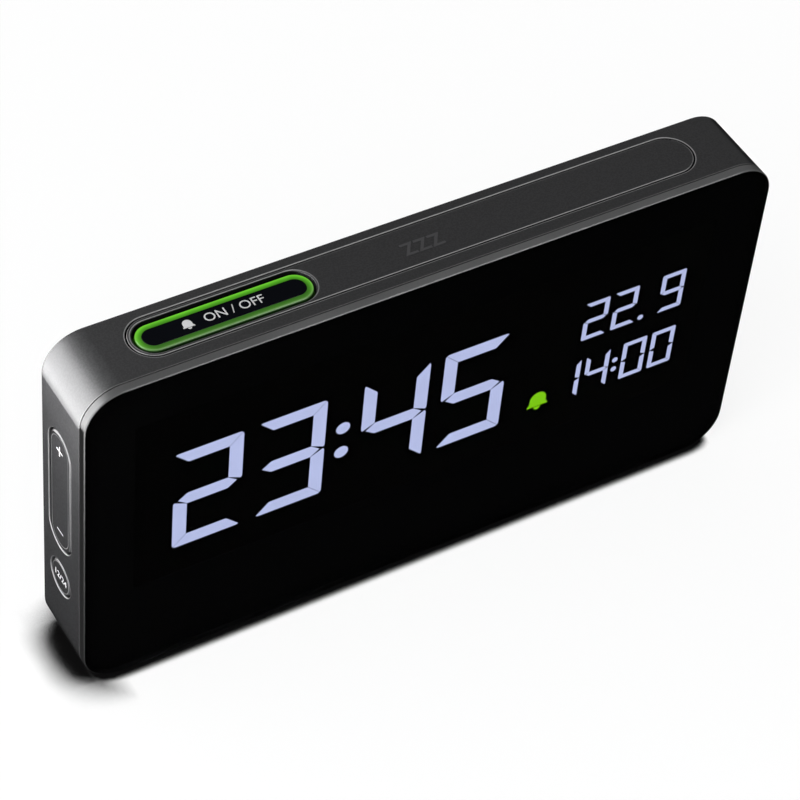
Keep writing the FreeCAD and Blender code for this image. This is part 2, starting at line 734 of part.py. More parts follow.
# Rear
def make_cover():
    """Rear cover with the battery bay, hanger pockets, speaker collar, grille and key windows."""
    body = new_body("rear_cover")
    edge = rounded("inner_width - 2 * fit_gap", "inner_height - 2 * fit_gap", "inner_radius - fit_gap")
    add(body, "XZ", edge, "cover_inner", "rear_plane", ("0", "case_middle"))
    half = "(bay_length / 2 + bay_wall)"
    bay = between("-" + half, half, "bay_bottom - bay_wall", "bay_top + bay_wall")
    add(body, "XZ", bay, "bay_front", "cover_inner")
    recess = rectangle("door_width + 2 * door_gap", "door_height + 2 * door_gap")
    cut(body, "XZ", recess, "door_inner", f"rear_plane + {CLEAR}", ("0", "bay_middle"))
    inside = rectangle("bay_length", "bay_height")
    cut(body, "XZ", inside, "bay_floor", f"rear_plane + {CLEAR}", ("0", "bay_middle"))
    cut_door_notches(body)
    add_hangers(body)
    collar = "speaker_diameter + 2 * fit_gap"
    place = ("speaker_across", "speaker_middle")
    add(body, "XZ", circle(f"{collar} + 2 * speaker_collar"), "cover_inner - speaker_collar_height", "cover_inner", place)
    cut(body, "XZ", circle(collar), f"cover_inner - speaker_collar_height - {CLEAR}", "cover_inner", place)
    for number in range(GRILLE_SLOTS):
        row = (2 * number + 1 - GRILLE_SLOTS) / GRILLE_SLOTS
        slot = stadium(f"2 * grille_radius * {(1 - row * row) ** 0.5}", "grille_slot")
        height = f"speaker_middle + grille_radius * {row}"
        cut(body, "XZ", slot, f"cover_inner - {CLEAR}", f"rear_plane + {CLEAR}", ("speaker_across", height))
    for across in set_key_places().values():
        window = circle("set_key_diameter + 2 * key_gap")
        cut(body, "XZ", window, f"cover_inner - {CLEAR}", f"rear_plane + {CLEAR}", (across, "set_key_middle"))
    nose = circle("inlet_nose + 2 * inlet_nose_gap")
    place = ("inlet_across", "inlet_middle")
    cut(body, "XZ", nose, f"cover_inner - {CLEAR}", f"rear_plane + {CLEAR}", place)
    for place in cover_screw_places():
        sink_screw_hole(body, place)


def cut_door_notches(body):
    """Room in the bay's walls for the door's hooks, its latch and a fingernail."""
    for side in ("-", ""):
        half = "(hinge_hook_width / 2 + notch_gap)"
        middle = f"{side}hinge_hook_spread / 2"
        notch = between(f"{middle} - {half}", f"{middle} + {half}", "door_bottom", "bay_bottom + notch_gap")
        depth = "door_inner - hinge_hook_drop - hinge_hook_reach"
        cut(body, "XZ", notch, depth, f"door_inner + {CLEAR / 2}")
    half = "(latch_width / 2 + notch_gap)"
    room = "bay_top + notch_gap + latch_thickness + latch_room"
    notch = between("-" + half, half, "bay_top - notch_gap", room)
    cut(body, "XZ", notch, "door_inner - latch_drop - notch_gap", f"door_inner + {CLEAR / 2}")
    scoop = stadium("nail_scoop_length", "2 * nail_scoop_width")
    place = ("0", "door_top")
    cut(body, "XZ", scoop, "rear_plane - nail_scoop_depth", f"rear_plane + {CLEAR}", place)


def add_hangers(body):
    """Keyholes for two wall screws, each with a closed pocket behind it."""
    for side in ("-", ""):
        middle = f"{side}hanger_across"
        left, right = f"{middle} - hanger_half", f"{middle} + hanger_half"
        low = "hanger_middle - hanger_half"
        high = "hanger_middle + hanger_slot_length + hanger_half"
        walls = between(f"{left} - bay_wall", f"{right} + bay_wall", f"{low} - bay_wall", f"{high} + bay_wall")
        add(body, "XZ", walls, "cover_inner - hanger_depth - bay_wall", "cover_inner")
        cut(body, "XZ", between(left, right, low, high), "cover_inner - hanger_depth", "cover_inner")
        place = (middle, "hanger_middle")
        cut(body, "XZ", circle("hanger_hole"), f"cover_inner - {CLEAR}", f"rear_plane + {CLEAR}", place)
        slot = stadium("hanger_slot_length + hanger_slot", "hanger_slot", upright=True)
        place = (middle, "hanger_middle + hanger_slot_length / 2")
        cut(body, "XZ", slot, f"cover_inner - {CLEAR}", f"rear_plane + {CLEAR}", place)


def sink_screw_hole(body, place):
    """A countersunk hole through the cover."""
    sketch = lay_out(body, "XZ", circle("cover_screw_diameter"), "rear_plane", place)
    document.recompute()
    hole = body.newObject("PartDesign::Hole", body.Name + "_hole")
    hole.Profile = sketch
    document.recompute()
    hole.Reversed = True
    hole.DepthType = "Dimension"
    hole.HoleCutType = "Countersink"
    hole.HoleCutCustomValues = True
    hole.HoleCutCountersinkAngle = 90
    hole.setExpression("Depth", formula(f"cover_thickness + {CLEAR}"))
    hole.setExpression("Diameter", formula("cover_screw_diameter + 4 * screw_gap"))
    hole.setExpression("HoleCutDiameter", formula("cover_screw_head + 2 * screw_gap"))


def make_door():
    """Battery door that tilts on two hooks and snaps shut with a latch."""
    body = new_body("battery_door")
    add(body, "XZ", rectangle("door_width", "door_height"), "door_inner", "rear_plane", ("0", "bay_middle"))
    neck = "door_bottom + hinge_hook_rise"
    under = "door_inner - hinge_hook_drop"
    for side in ("-", ""):
        left = f"{side}hinge_hook_spread / 2 - hinge_hook_width / 2"
        right = f"{side}hinge_hook_spread / 2 + hinge_hook_width / 2"
        add(body, "XZ", between(left, right, neck, f"{neck} + hinge_hook_neck"), under, "door_inner")
        finger = between(left, right, f"{neck} - hinge_hook_reach", f"{neck} + hinge_hook_neck")
        add(body, "XZ", finger, under, f"{under} + hinge_hook_thickness")
    latch = between("-latch_width / 2", "latch_width / 2", "bay_top", "bay_top + latch_thickness")
    add(body, "XZ", latch, "door_inner - latch_drop", "door_inner")


def make_cover_screws():
    """Four countersunk screws that hold the cover to the posts."""
    screws = []
    head = "(cover_screw_head - cover_screw_diameter) / 2"
    for number, (across, up) in enumerate(cover_screw_places(), start=1):
        start = (across, "rear_plane", up)
        taper = cone(f"screw_head_{number}", start, "-Y", "cover_screw_head", "cover_screw_diameter", head)
        shank = rod(f"screw_shank_{number}", start, "-Y", "cover_screw_diameter", "cover_screw_length")
        screws.append(fuse(f"cover_screw_{number}", [taper, shank]))
    group("cover_screws", screws)


# Display module
def make_display():
    """Frame, glass, films, light guide, lamp strip and contact strips, front to back."""
    body = new_body("display_frame")
    middle = ("0", "frame_middle")
    add(body, "XZ", rectangle("frame_width", "frame_height"), "glass_front", "board_front", middle)
    flange = rectangle("board_tongue_width", "frame_height + 2 * frame_flange")
    add(body, "XZ", flange, "bulkhead_back", "board_front", middle)
    seat = rectangle("glass_width + 2 * glass_gap", "glass_height + 2 * glass_gap")
    cut(body, "XZ", seat, f"glass_front - {CLEAR}", "glass_back", middle)
    through = rectangle("stack_width + 2 * glass_gap", "glass_height + 2 * glass_gap")
    cut(body, "XZ", through, f"glass_front - {CLEAR}", f"board_front + {CLEAR}", middle)
    body = new_body("display_glass")
    add(body, "XZ", rectangle("glass_width", "glass_height"), "glass_front", "glass_ledge", middle)
    add(body, "XZ", rectangle("glass_width", "stack_height"), "glass_ledge", "glass_back", middle)
    body = new_body("diffuser_film")
    guide = between("guide_left", "stack_width / 2", "frame_middle - stack_height / 2", "frame_middle + stack_height / 2")
    add(body, "XZ", guide, "glass_back", "film_back")
    body = new_body("light_guide")
    add(body, "XZ", guide, "film_back", "guide_back")
    body = new_body("reflector_film")
    add(body, "XZ", guide, "guide_back", "reflector_back")
    make_lamp_strip()
    for name, side in (("contact_strip_top", "+"), ("contact_strip_bottom", "-")):
        body = new_body(name)
        strip = rectangle("glass_width - 2 * contact_strip_margin", "contact_strip_width")
        place = ("0", f"frame_middle {side} (glass_height - contact_strip_width) / 2")
        add(body, "XZ", strip, "glass_ledge", "board_front", place)


def make_lamp_strip():
    """Strip of six small lamps that shine into the edge of the light guide."""
    body = new_body("lamp_strip")
    low, high = "frame_middle - stack_height / 2", "frame_middle + stack_height / 2"
    strip = between("strip_left", "strip_left + strip_thickness", low, high)
    add(body, "XZ", strip, "film_back", "guide_back")
    first = "frame_middle - 2.5 * led_pitch"
    lamp = between("strip_left + strip_thickness", "strip_left + strip_thickness + led_thickness",
                   f"{first} - led_width / 2", f"{first} + led_width / 2")
    chip = add(body, "XZ", lamp, "film_back", "guide_back")
    row = body.newObject("PartDesign::LinearPattern", "lamp_row")
    row.Originals = [chip]
    row.Direction = (next(item for item in body.Origin.OriginFeatures if item.Role == "Z_Axis"), [""])
    row.Occurrences = 6
    row.setExpression("Length", formula("5 * led_pitch"))
    body.Tip = row


# Boards
def make_main_board():
    """Main board behind the display, notched for the battery bay, with its chip and crystal."""
    body = new_body("main_board")
    half = "(case_width / 2 - board_side_margin)"
    sheet = between("-" + half, half, "case_floor + board_floor_margin", "frame_top - board_edge_gap")
    add(body, "XZ", sheet, "board_front", "board_back")
    tongue = between("-board_tongue_width / 2", "board_tongue_width / 2",
                     "frame_middle", "case_top - board_top_margin")
    add(body, "XZ", tongue, "board_front", "board_back")
    half = "(bay_length / 2 + bay_wall + board_notch_gap)"
    notch = between("-" + half, half, "0", "bay_top + bay_wall + board_notch_gap")
    cut(body, "XZ", notch, f"board_front - {CLEAR}", f"board_back + {CLEAR}")
    for place in board_screw_places():
        hole = circle("board_screw_diameter + 2 * screw_gap")
        cut(body, "XZ", hole, f"board_front - {CLEAR}", f"board_back + {CLEAR}", place)
    body = new_body("control_chip")
    place = ("0", "case_top - chip_drop")
    add(body, "XZ", rectangle("chip_size", "chip_size"), "board_back", "board_back + chip_thickness", place)
    start = ("crystal_offset", "board_back + crystal_diameter / 2", "case_top - chip_drop - crystal_length / 2")
    crystal = rod("clock_crystal", start, "+Z", "crystal_diameter", "crystal_length")
    crystal.Label = "clock_crystal"
    parts.append(crystal)
    screws = []
    for number, (across, up) in enumerate(board_screw_places(), start=1):
        head = rod(f"board_head_{number}", (across, "board_back", up), "+Y",
                   "board_screw_head", "board_screw_head_height")
        shank = rod(f"board_shank_{number}", (across, "board_back", up), "-Y", "board_screw_diameter",
                    "board_back - bulkhead_front - 2 * screw_end_gap")
        screws.append(fuse(f"board_screw_{number}", [head, shank]))
    group("board_screws", screws)


def switch(name, place, axis):
    """A small push switch whose plunger points along the axis, from its place on a board."""
    across, back, up = place
    half = "switch_size / 2"
    low = {"X": [across, f"{back} - {half}", f"{up} - {half}"],
           "Y": [f"{across} - {half}", back, f"{up} - {half}"],
           "Z": [f"{across} - {half}", f"{back} - {half}", up]}[axis[1]]
    high = {"X": [across, f"{back} + {half}", f"{up} + {half}"],
            "Y": [f"{across} + {half}", back, f"{up} + {half}"],
            "Z": [f"{across} + {half}", f"{back} + {half}", up]}[axis[1]]
    deep = "XYZ".index(axis[1])
    if axis[0] == "-":
        low[deep] = f"{low[deep]} - switch_body"
    else:
        high[deep] = f"{high[deep]} + switch_body"
    plunger = rod(name + "_plunger", place, axis, "plunger_diameter", "switch_height")
    return fuse(name, [block(name + "_case", low, high), plunger])


def make_small_boards():
    """Boards under the top and side keys, with their switches and the lamps of the alarm key."""
    body = new_body("top_board")
    low, high = "key_line - top_board_width / 2", "key_line + top_board_width / 2"
    add(body, "XY", between("top_board_left", "top_board_right", low, high), "top_board_back", "top_board_face")
    for side in ("-", "+"):
        leg = rectangle("hook_width + 2 * hook_gap", "hook_depth + 2 * hook_gap")
        place = (f"alarm_middle {side} hook_spread / 2", "key_line")
        cut(body, "XY", leg, f"top_board_back - {CLEAR}", f"top_board_face + {CLEAR}", place)
    places = ("alarm_middle", "snooze_switch_left", "snooze_switch_right")
    group("top_switches", [switch(f"top_switch_{number}", (across, "key_line", "top_board_face"), "+Z")
                           for number, across in enumerate(places, start=1)])
    lamps = []
    for number, (side, step) in enumerate((("-", 1), ("-", 0), ("+", 0), ("+", 1)), start=1):
        middle = f"alarm_middle {side} (alarm_led_first + {step} * alarm_led_pitch)"
        half = "alarm_led_size / 2"
        corner = (f"{middle} - {half}", f"key_line - {half}", "top_board_face")
        opposite = (f"{middle} + {half}", f"key_line + {half}", "top_board_face + alarm_led_height")
        lamps.append(block(f"alarm_lamp_{number}", corner, opposite))
    group("alarm_lamps", lamps)
    body = new_body("side_board")
    low, high = "key_line - side_board_width / 2", "key_line + side_board_width / 2"
    add(body, "YZ", between(low, high, "side_board_bottom", "side_board_top"), "side_board_face", "side_board_back")
    places = ("format_middle", "rocker_middle - rocker_peg_spread / 2", "rocker_middle + rocker_peg_spread / 2")
    group("side_switches", [switch(f"side_switch_{number}", ("side_board_face", "key_line", up), "-X")
                            for number, up in enumerate(places, start=1)])
    group("set_switches", [switch(f"set_switch_{number}", (across, "board_back", "set_key_middle"), "+Y")
                           for number, across in enumerate(set_key_places().values(), start=1)])


def make_ribbons():
    """Flat ribbons from the main board to the two small boards, and their sockets."""
    left, right = "ribbon_across", "ribbon_across + ribbon_width"
    half, level = "ribbon_socket / 2", "(case_top - ribbon_drop - ribbon_level)"
    tail = "board_back + ribbon_socket_height"
    sockets = [block("top_socket", (left, f"key_line - {half}", "top_board_back - ribbon_socket_height"),
                     (right, f"key_line + {half}", "top_board_back")),
               block("top_tail_socket", (left, "board_back", f"{level} - {half}"), (right, tail, f"{level} + {half}"))]
    body = new_body("top_ribbon")
    thin = "ribbon_thickness / 2"
    bend = outline([(f"key_line + {thin}", "top_board_back - ribbon_socket_height"),
                    (f"key_line + {thin}", f"{level} - {thin}"), (tail, f"{level} - {thin}"),
                    (tail, f"{level} + {thin}"), (f"key_line - {thin}", f"{level} + {thin}"),
                    (f"key_line - {thin}", "top_board_back - ribbon_socket_height")])
    add(body, "YZ", bend, left, right)
    low, high = "rocker_middle - ribbon_width / 2", "rocker_middle + ribbon_width / 2"
    reach = "side_board_back + ribbon_socket_height"
    drop = f"(side_board_back + ribbon_run + ribbon_socket_height)"
    sockets += [block("side_socket", ("side_board_back", f"key_line - {half}", low), (reach, f"key_line + {half}", high)),
                block("side_tail_socket", (f"{drop} - {half}", "board_back", low), (f"{drop} + {half}", tail, high))]
    body = new_body("side_ribbon")
    bend = outline([(reach, f"key_line + {thin}"), (f"{drop} + {thin}", f"key_line + {thin}"),
                    (f"{drop} + {thin}", tail), (f"{drop} - {thin}", tail),
                    (f"{drop} - {thin}", f"key_line - {thin}"), (reach, f"key_line - {thin}")])
    add(body, "XY", bend, low, high)
    group("ribbon_sockets", sockets)


# Keys
def make_snooze_bar():
    """Long key along the top, with a window for the alarm key and pegs over its two switches."""
    body = new_body("snooze_bar")
    middle = ("bar_middle", "key_line")
    blank = add(body, "XY", stadium("bar_length", "bar_width"), "flange_bottom", "case_top", middle)
    soften(body, blank, edges_at(blank, "zmax"), "bar_round")
    flange = stadium("bar_length + 2 * key_flange_reach", "bar_width")
    add(body, "XY", flange, "flange_bottom", "inner_top", middle)
    start, end = "(alarm_end + key_skin)", "(bar_right - key_gap - key_skin)"
    hollow = stadium(f"{end} - {start}", "bar_width - 2 * key_skin")
    cut(body, "XY", hollow, f"flange_bottom - {CLEAR}", "bar_underside", (f"({start} + {end}) / 2", "key_line"))
    window = stadium("alarm_window_length", "alarm_window_width")
    place = ("alarm_middle", "key_line")
    opening = cut(body, "XY", window, f"flange_bottom - {CLEAR}", "case_top", place)
    soften(body, opening, new_edges_at(opening, "zmax"), "alarm_window_round")
    for across in ("snooze_switch_left", "snooze_switch_right"):
        add(body, "XY", circle("peg_diameter"), "top_actuators", "bar_underside", (across, "key_line"))


def make_snooze_springs():
    """Two leaf springs on the top board that lift the bar."""
    low, high = "key_line - spring_width / 2", "key_line + spring_width / 2"
    leaves = []
    for number, (switch_place, way) in enumerate((("snooze_switch_left", "+"), ("snooze_switch_right", "-")), start=1):
        heel = f"({switch_place} {way} (switch_size / 2 + spring_gap))"
        toe = f"({heel} {way} spring_foot)"
        crest = f"({toe} {way} spring_rise)"
        tip = f"({crest} {way} spring_tip)"
        floor, roof = "top_board_face", "bar_underside"
        path = outline([(heel, floor), (toe, floor), (crest, f"{roof} - spring_thickness"),
                        (tip, f"{roof} - spring_thickness"), (tip, roof), (crest, roof),
                        (toe, f"{floor} + spring_thickness"), (heel, f"{floor} + spring_thickness")])
        leaf = document.addObject("Part::Extrusion", f"leaf_{number}")
        sketch = document.addObject("Sketcher::SketchObject", f"leaf_sketch_{number}")
        path(sketch)
        sketch.Placement.Rotation = Rotation(Vector(1, 0, 0), 90)
        sketch.setExpression("Placement.Base.y", formula(high))
        leaf.Base = sketch
        leaf.DirMode = "Normal"
        leaf.Solid = True
        leaf.setExpression("LengthFwd", formula(f"({high}) - ({low})"))
        leaves.append(leaf)
    group("snooze_springs", leaves)


def make_alarm_key():
    """Lit ring with hooked legs, and the black cap that sits in it."""
    body = new_body("alarm_light_ring")
    place = ("alarm_middle", "key_line")
    ring = add(body, "XY", stadium("ring_length", "ring_width"), "top_actuators", "alarm_top", place)
    soften(body, ring, edges_at(ring, "zmax"), "light_ring_round")
    cut(body, "XY", stadium("cup_length", "cup_width"), "cup_floor", f"alarm_top + {CLEAR}", place)
    flange = stadium("ring_length + 2 * alarm_flange_reach", "ring_width + 2 * alarm_flange_reach")
    add(body, "XY", flange, "top_actuators", "alarm_flange_top", place)
    for side in ("-", "+"):
        leg = f"alarm_middle {side} hook_spread / 2"
        shaft = rectangle("hook_width", "hook_depth")
        add(body, "XY", shaft, "top_board_back - hook_height", "top_actuators", (leg, "key_line"))
        catch = rectangle("hook_width + hook_catch", "hook_depth")
        spot = (f"{leg} {side} hook_catch / 2", "key_line")
        add(body, "XY", catch, "top_board_back - hook_height", "top_board_back", spot)
    body = new_body("alarm_button")
    cap = stadium("cup_length - 2 * alarm_cap_gap", "cup_width - 2 * alarm_cap_gap")
    blank = add(body, "XY", cap, "cup_floor", "alarm_top", place)
    soften(body, blank, edges_at(blank, "zmax"), "alarm_cap_round")


def make_rocker():
    """Plus and minus key that rocks on a steel pin."""
    body = new_body("rocker_button")
    middle = ("key_line", "rocker_middle")
    length, width = "rocker_window_length - 2 * key_gap", "side_window_width - 2 * key_gap"
    back = "left_side + rocker_thickness"
    blank = add(body, "YZ", stadium(length, width, upright=True), "left_side", back, middle)
    soften(body, blank, edges_at(blank, "xmin"), "side_key_round")
    hollow = stadium(f"{length} - 2 * key_skin", f"{width} - 2 * key_skin", upright=True)
    cut(body, "YZ", hollow, "left_side + key_skin", f"{back} + {CLEAR}", middle)
    hub = rectangle(width, "2 * pivot_block")
    add(body, "YZ", hub, "left_side + key_skin", "pivot_across + pivot_block", middle)
    low, high = "key_line - side_window_width / 2", "key_line + side_window_width / 2"
    bore = circle("pivot_diameter + 2 * pivot_gap")
    cut(body, "XZ", bore, low, high, ("pivot_across", "rocker_middle"))
    for side in ("-", "+"):
        spot = ("key_line", f"rocker_middle {side} rocker_peg_spread / 2")
        add(body, "YZ", circle("peg_diameter"), "left_side + key_skin", "side_actuators", spot)
    pin = rod("rocker_pin", ("pivot_across", "bulkhead_back", "rocker_middle"), "+Y",
              "pivot_diameter", "cover_inner - bulkhead_back - fit_gap")
    pin.Label = "rocker_pin"
    parts.append(pin)


def make_format_button():
    """Round key below the rocker, held in by its flange."""
    body = new_body("format_button")
    middle = ("key_line", "format_middle")
    face = "format_window_diameter - 2 * key_gap"
    blank = add(body, "YZ", circle(face), "left_side", "inner_left + key_flange", middle)
    soften(body, blank, edges_at(blank, "xmin"), "side_key_round")
    add(body, "YZ", circle(f"{face} + 2 * key_flange_reach"), "inner_left", "inner_left + key_flange", middle)
    add(body, "YZ", circle("peg_diameter"), "inner_left", "side_actuators", middle)


def make_set_buttons():
    """Three small keys in the rear cover, with long stems to the main board's switches."""
    for name, across in set_key_places().items():
        body = new_body(name)
        place = (across, "set_key_middle")
        blank = add(body, "XZ", circle("set_key_diameter"), "cover_inner", "rear_plane", place)
        soften(body, blank, edges_at(blank, "ymax"), "set_key_chamfer", "Chamfer")
        flange = circle("set_key_diameter + 2 * key_flange_reach")
        add(body, "XZ", flange, "cover_inner - key_flange", "cover_inner", place)
        add(body, "XZ", circle("peg_diameter"), "set_actuators", "cover_inner", place)


# Power and sound
def make_cells():
    """Three cells side by side, alternate ways round, and the contacts at their ends."""
    contacts = []
    slack = "(bay_length - cell_length - cell_nub_length)"
    for number in (1, 2, 3):
        way = "+" if number % 2 else "-"
        back = "-" if number % 2 else "+"
        up = f"(bay_bottom + cell_clearance + cell_diameter / 2 + {number - 1} * (cell_diameter + cell_gap))"
        front_wall, back_wall = f"{way}bay_length / 2", f"{back}bay_length / 2"
        plate = "(contact_thickness + contact_boss)"
        nub = f"({front_wall} {back} ({plate} + contact_end_gap))"
        shoulder = f"({nub} {back} cell_nub_length)"
        foot = f"({shoulder} {back} cell_length)"
        make_cell(number, way, nub, shoulder, foot, up)
        half = "contact_size / 2"
        sides = (f"cell_line - {half}", f"cell_line + {half}", f"{up} - {half}", f"{up} + {half}")
        inner = f"({front_wall} {back} contact_thickness)"
        plate_solid = plate_between(f"plus_plate_{number}", way, inner, front_wall, sides)
        dimple = cone(f"plus_dimple_{number}", (inner, "cell_line", up), back + "X",
                      "contact_size / 2", "cell_nub_diameter", "contact_boss")
        contacts.append(fuse(f"plus_contact_{number}", [plate_solid, dimple]))
        contacts.append(leaf_contact(number, way, back_wall, foot, up, half))
    group("battery_contacts", contacts)


def make_cell(number, way, nub, shoulder, foot, up):
    """One cell with its nub towards one end of the bay."""
    body = new_body(f"battery_cell_{number}")
    can = (foot, shoulder) if way == "+" else (shoulder, foot)
    tip = (shoulder, nub) if way == "+" else (nub, shoulder)
    place = ("cell_line", up)
    add(body, "YZ", circle("cell_diameter"), *can, place)
    add(body, "YZ", circle("cell_nub_diameter"), *tip, place)


def plate_between(name, way, inner, outer, sides):
    front, rear, low, high = sides
    ends = (inner, outer) if way == "+" else (outer, inner)
    return block(name, (ends[0], front, low), (ends[1], rear, high))


def leaf_contact(number, way, wall, foot, up, half):
    """Bent leaf that presses on the flat end of a cell."""
    inner = f"({wall} {way} contact_thickness)"
    touch = f"({foot} {'-' if way == '+' else '+'} contact_end_gap)"
    crest = f"({touch} {'-' if way == '+' else '+'} contact_thickness)"
    low, high = f"{up} - {half}", f"{up} + {half}"
    path = outline([(wall, low), (inner, low), (inner, f"{low} + leaf_tab"), (touch, f"{up} - leaf_tab"),
                    (touch, f"{up} + leaf_tab"), (crest, f"{up} + leaf_tab"), (crest, f"{up} - leaf_tab"),
                    (inner, f"{low} + 2 * leaf_tab"), (inner, high), (wall, high)])
    leaf = document.addObject("Part::Extrusion", f"minus_contact_{number}")
    sketch = document.addObject("Sketcher::SketchObject", f"minus_sketch_{number}")
    path(sketch)
    sketch.Placement.Rotation = Rotation(Vector(1, 0, 0), 90)
    sketch.setExpression("Placement.Base.y", formula(f"cell_line + {half}"))
    leaf.Base = sketch
    leaf.DirMode = "Normal"
    leaf.Solid = True
    leaf.setExpression("LengthFwd", formula("contact_size"))
    return leaf


def make_speaker():
    """Small round speaker behind the grille: rim, basket and magnet."""
    body = new_body("speaker")
    place = ("speaker_across", "speaker_middle")
    for diameter, depth in (("speaker_diameter", "speaker_rim"), ("speaker_basket", "speaker_basket_depth"),
                            ("speaker_magnet", "speaker_depth")):
        add(body, "XZ", circle(diameter), f"cover_inner - {depth}", "cover_inner", place)


def make_inlet():
    """Round supply inlet on the main board, with its nose in the cover."""
    body = new_body("supply_inlet")
    place = ("inlet_across", "inlet_middle")
    add(body, "XZ", rectangle("inlet_width", "inlet_tall"), "board_back", "cover_inner", place)
    add(body, "XZ", circle("inlet_nose"), "cover_inner", "nose_end", place)
    floor = "nose_end - inlet_bore_depth"
    cut(body, "XZ", circle("inlet_bore"), floor, f"nose_end + {CLEAR}", place)
    add(body, "XZ", circle("inlet_pin"), floor, "nose_end - inlet_pin_recess", place)


def check_and_write():
    """Stop on anything that failed, then write each sub-part under its label."""
    document.recompute()
    for item in document.Objects:
        if "Invalid" in item.State or "Error" in item.State:
            raise RuntimeError(f"{item.Name} did not compute")
        base = getattr(item, "BaseFeature", None)
        if base is not None and item.TypeId in ("PartDesign::Pad", "PartDesign::Pocket", "PartDesign::Hole"):
            if abs(item.Shape.Volume - base.Shape.Volume) < 1e-4:
                raise RuntimeError(f"{item.Name} changed nothing")
    os.makedirs("parts", exist_ok=True)
    for item in parts:
        if item.Shape.isNull() or not item.Shape.isValid():
            raise RuntimeError(f"{item.Label} has no sound shape")
        item.Shape.exportStep(f"parts/{item.Label}.step")


make_sheet()
make_rim()
make_lens()
make_housing()
make_feet()
make_cover()
make_door()
make_cover_screws()
make_display()
make_main_board()
make_small_boards()
make_ribbons()
make_snooze_bar()
make_snooze_springs()
make_alarm_key()
make_rocker()
make_format_button()
make_set_buttons()
make_cells()
make_speaker()
make_inlet()
check_and_write()
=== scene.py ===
"""Slim digital alarm clock: smoked front, lit digits, snooze bar and lit alarm key."""

import math

import bmesh
import bpy
from mathutils import Matrix, Vector


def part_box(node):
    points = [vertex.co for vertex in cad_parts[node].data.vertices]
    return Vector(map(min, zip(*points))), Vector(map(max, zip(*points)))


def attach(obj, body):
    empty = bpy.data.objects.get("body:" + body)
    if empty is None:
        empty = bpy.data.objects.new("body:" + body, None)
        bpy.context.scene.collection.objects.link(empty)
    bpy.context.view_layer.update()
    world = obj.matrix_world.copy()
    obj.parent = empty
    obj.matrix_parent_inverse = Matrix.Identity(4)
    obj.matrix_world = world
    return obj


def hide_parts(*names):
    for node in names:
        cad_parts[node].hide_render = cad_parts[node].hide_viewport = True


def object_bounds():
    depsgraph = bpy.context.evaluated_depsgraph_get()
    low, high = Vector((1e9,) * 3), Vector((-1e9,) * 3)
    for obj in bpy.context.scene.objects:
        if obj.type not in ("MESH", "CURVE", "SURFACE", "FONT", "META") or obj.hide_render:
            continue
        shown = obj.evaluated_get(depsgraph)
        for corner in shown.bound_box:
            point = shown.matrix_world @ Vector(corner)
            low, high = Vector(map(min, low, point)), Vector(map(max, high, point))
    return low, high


bl_info = {
    "name": "Digital alarm clock",
    "version": (1, 0, 0),
    "blender": (4, 5, 0),
    "location": "3D View > Sidebar > Clock",
    "description": "Dresses the clock: finishes, lit display, key marks, screws and a studio",
    "category": "Object",
}

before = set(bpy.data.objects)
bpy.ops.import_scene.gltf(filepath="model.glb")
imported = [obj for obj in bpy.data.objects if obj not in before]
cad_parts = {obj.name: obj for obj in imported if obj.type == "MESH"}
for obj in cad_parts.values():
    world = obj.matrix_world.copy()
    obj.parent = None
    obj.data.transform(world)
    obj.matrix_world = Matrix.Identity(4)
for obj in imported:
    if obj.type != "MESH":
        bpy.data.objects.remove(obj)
cad_low, cad_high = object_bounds()
MM = 0.001

# Width of the light ring round the alarm cap, and of the gap beyond it that the bar's window leaves
LIGHT_RING = 1.75 * MM
ALARM_GAP = 1.05 * MM
# How far the hidden catches of the snooze bar and the round key reach past their faces
BAR_CATCH = 1.08 * MM
HOUR_CATCH = 1.1 * MM
# Radius of the lens's corners
LENS_CORNER = 10.7 * MM
# How high the lit plates and the prints stand
PLATE = 0.04 * MM
PRINT = 0.02 * MM

# Shares of the turn away from the viewer: up to the first gloss is full, then it fades
FULL_GLOSS = 0.26
CASE_SLANT = 0.712
TOP_SLANT = 0.45
RIM_SLANT = 0.62
LEAST_GLOSS = 0.0005

# Directions across, up and out of each face, as someone looking at that face sees them
FACES = {
    "front": (Vector((1, 0, 0)), Vector((0, 0, 1)), Vector((0, -1, 0))),
    "rear": (Vector((-1, 0, 0)), Vector((0, 0, 1)), Vector((0, 1, 0))),
    "left": (Vector((0, -1, 0)), Vector((0, 0, 1)), Vector((-1, 0, 0))),
    "top": (Vector((1, 0, 0)), Vector((0, 1, 0)), Vector((0, 0, 1))),
}

# Segments of a digit: t top, m middle, b bottom, then upper and lower, left and right
LIT = {
    "0": "t b ul ur ll lr", "1": "ur lr", "2": "t m b ur ll", "3": "t m b ur lr", "4": "m ul ur lr",
    "5": "t m b ul lr", "6": "t m b ul ll lr", "7": "t ur lr", "8": "t m b ul ur ll lr",
    "9": "t m b ul ur lr",
}
# Which of the three segment shapes each place takes, and how far it turns about X, Y and Z
SHAPES = {
    "t": ("cap", (0, 0, 0)), "b": ("cap", (math.pi, 0, 0)), "m": ("bar", (0, 0, 0)),
    "ur": ("side", (0, 0, 0)), "lr": ("side", (math.pi, 0, 0)),
    "ul": ("side", (0, 0, math.pi)), "ll": ("side", (0, math.pi, 0)),
}

# Glow of the alarm key's lit ring from its inner to its outer edge, on its rear and front runs; the front
# run is painted shade, darker than the rear, and the pale stop near its outer edge is a painted highlight
RING_GLOW_AND_PAINTED_SHADE = {
    "rear": ((0.0, (0.038, 0.17, 0.006)), (0.35, (0.062, 0.32, 0.006)), (0.7, (0.13, 0.53, 0.022)),
             (0.9, (0.16, 0.53, 0.045)), (1.0, (0.08, 0.3, 0.016))),
    "front": ((0.0, (0.014, 0.055, 0.004)), (0.4, (0.028, 0.1, 0.008)), (0.65, (0.045, 0.14, 0.016)),
              (0.8, (0.14, 0.28, 0.09)), (0.92, (0.08, 0.16, 0.05)), (1.0, (0.02, 0.05, 0.014))),
}


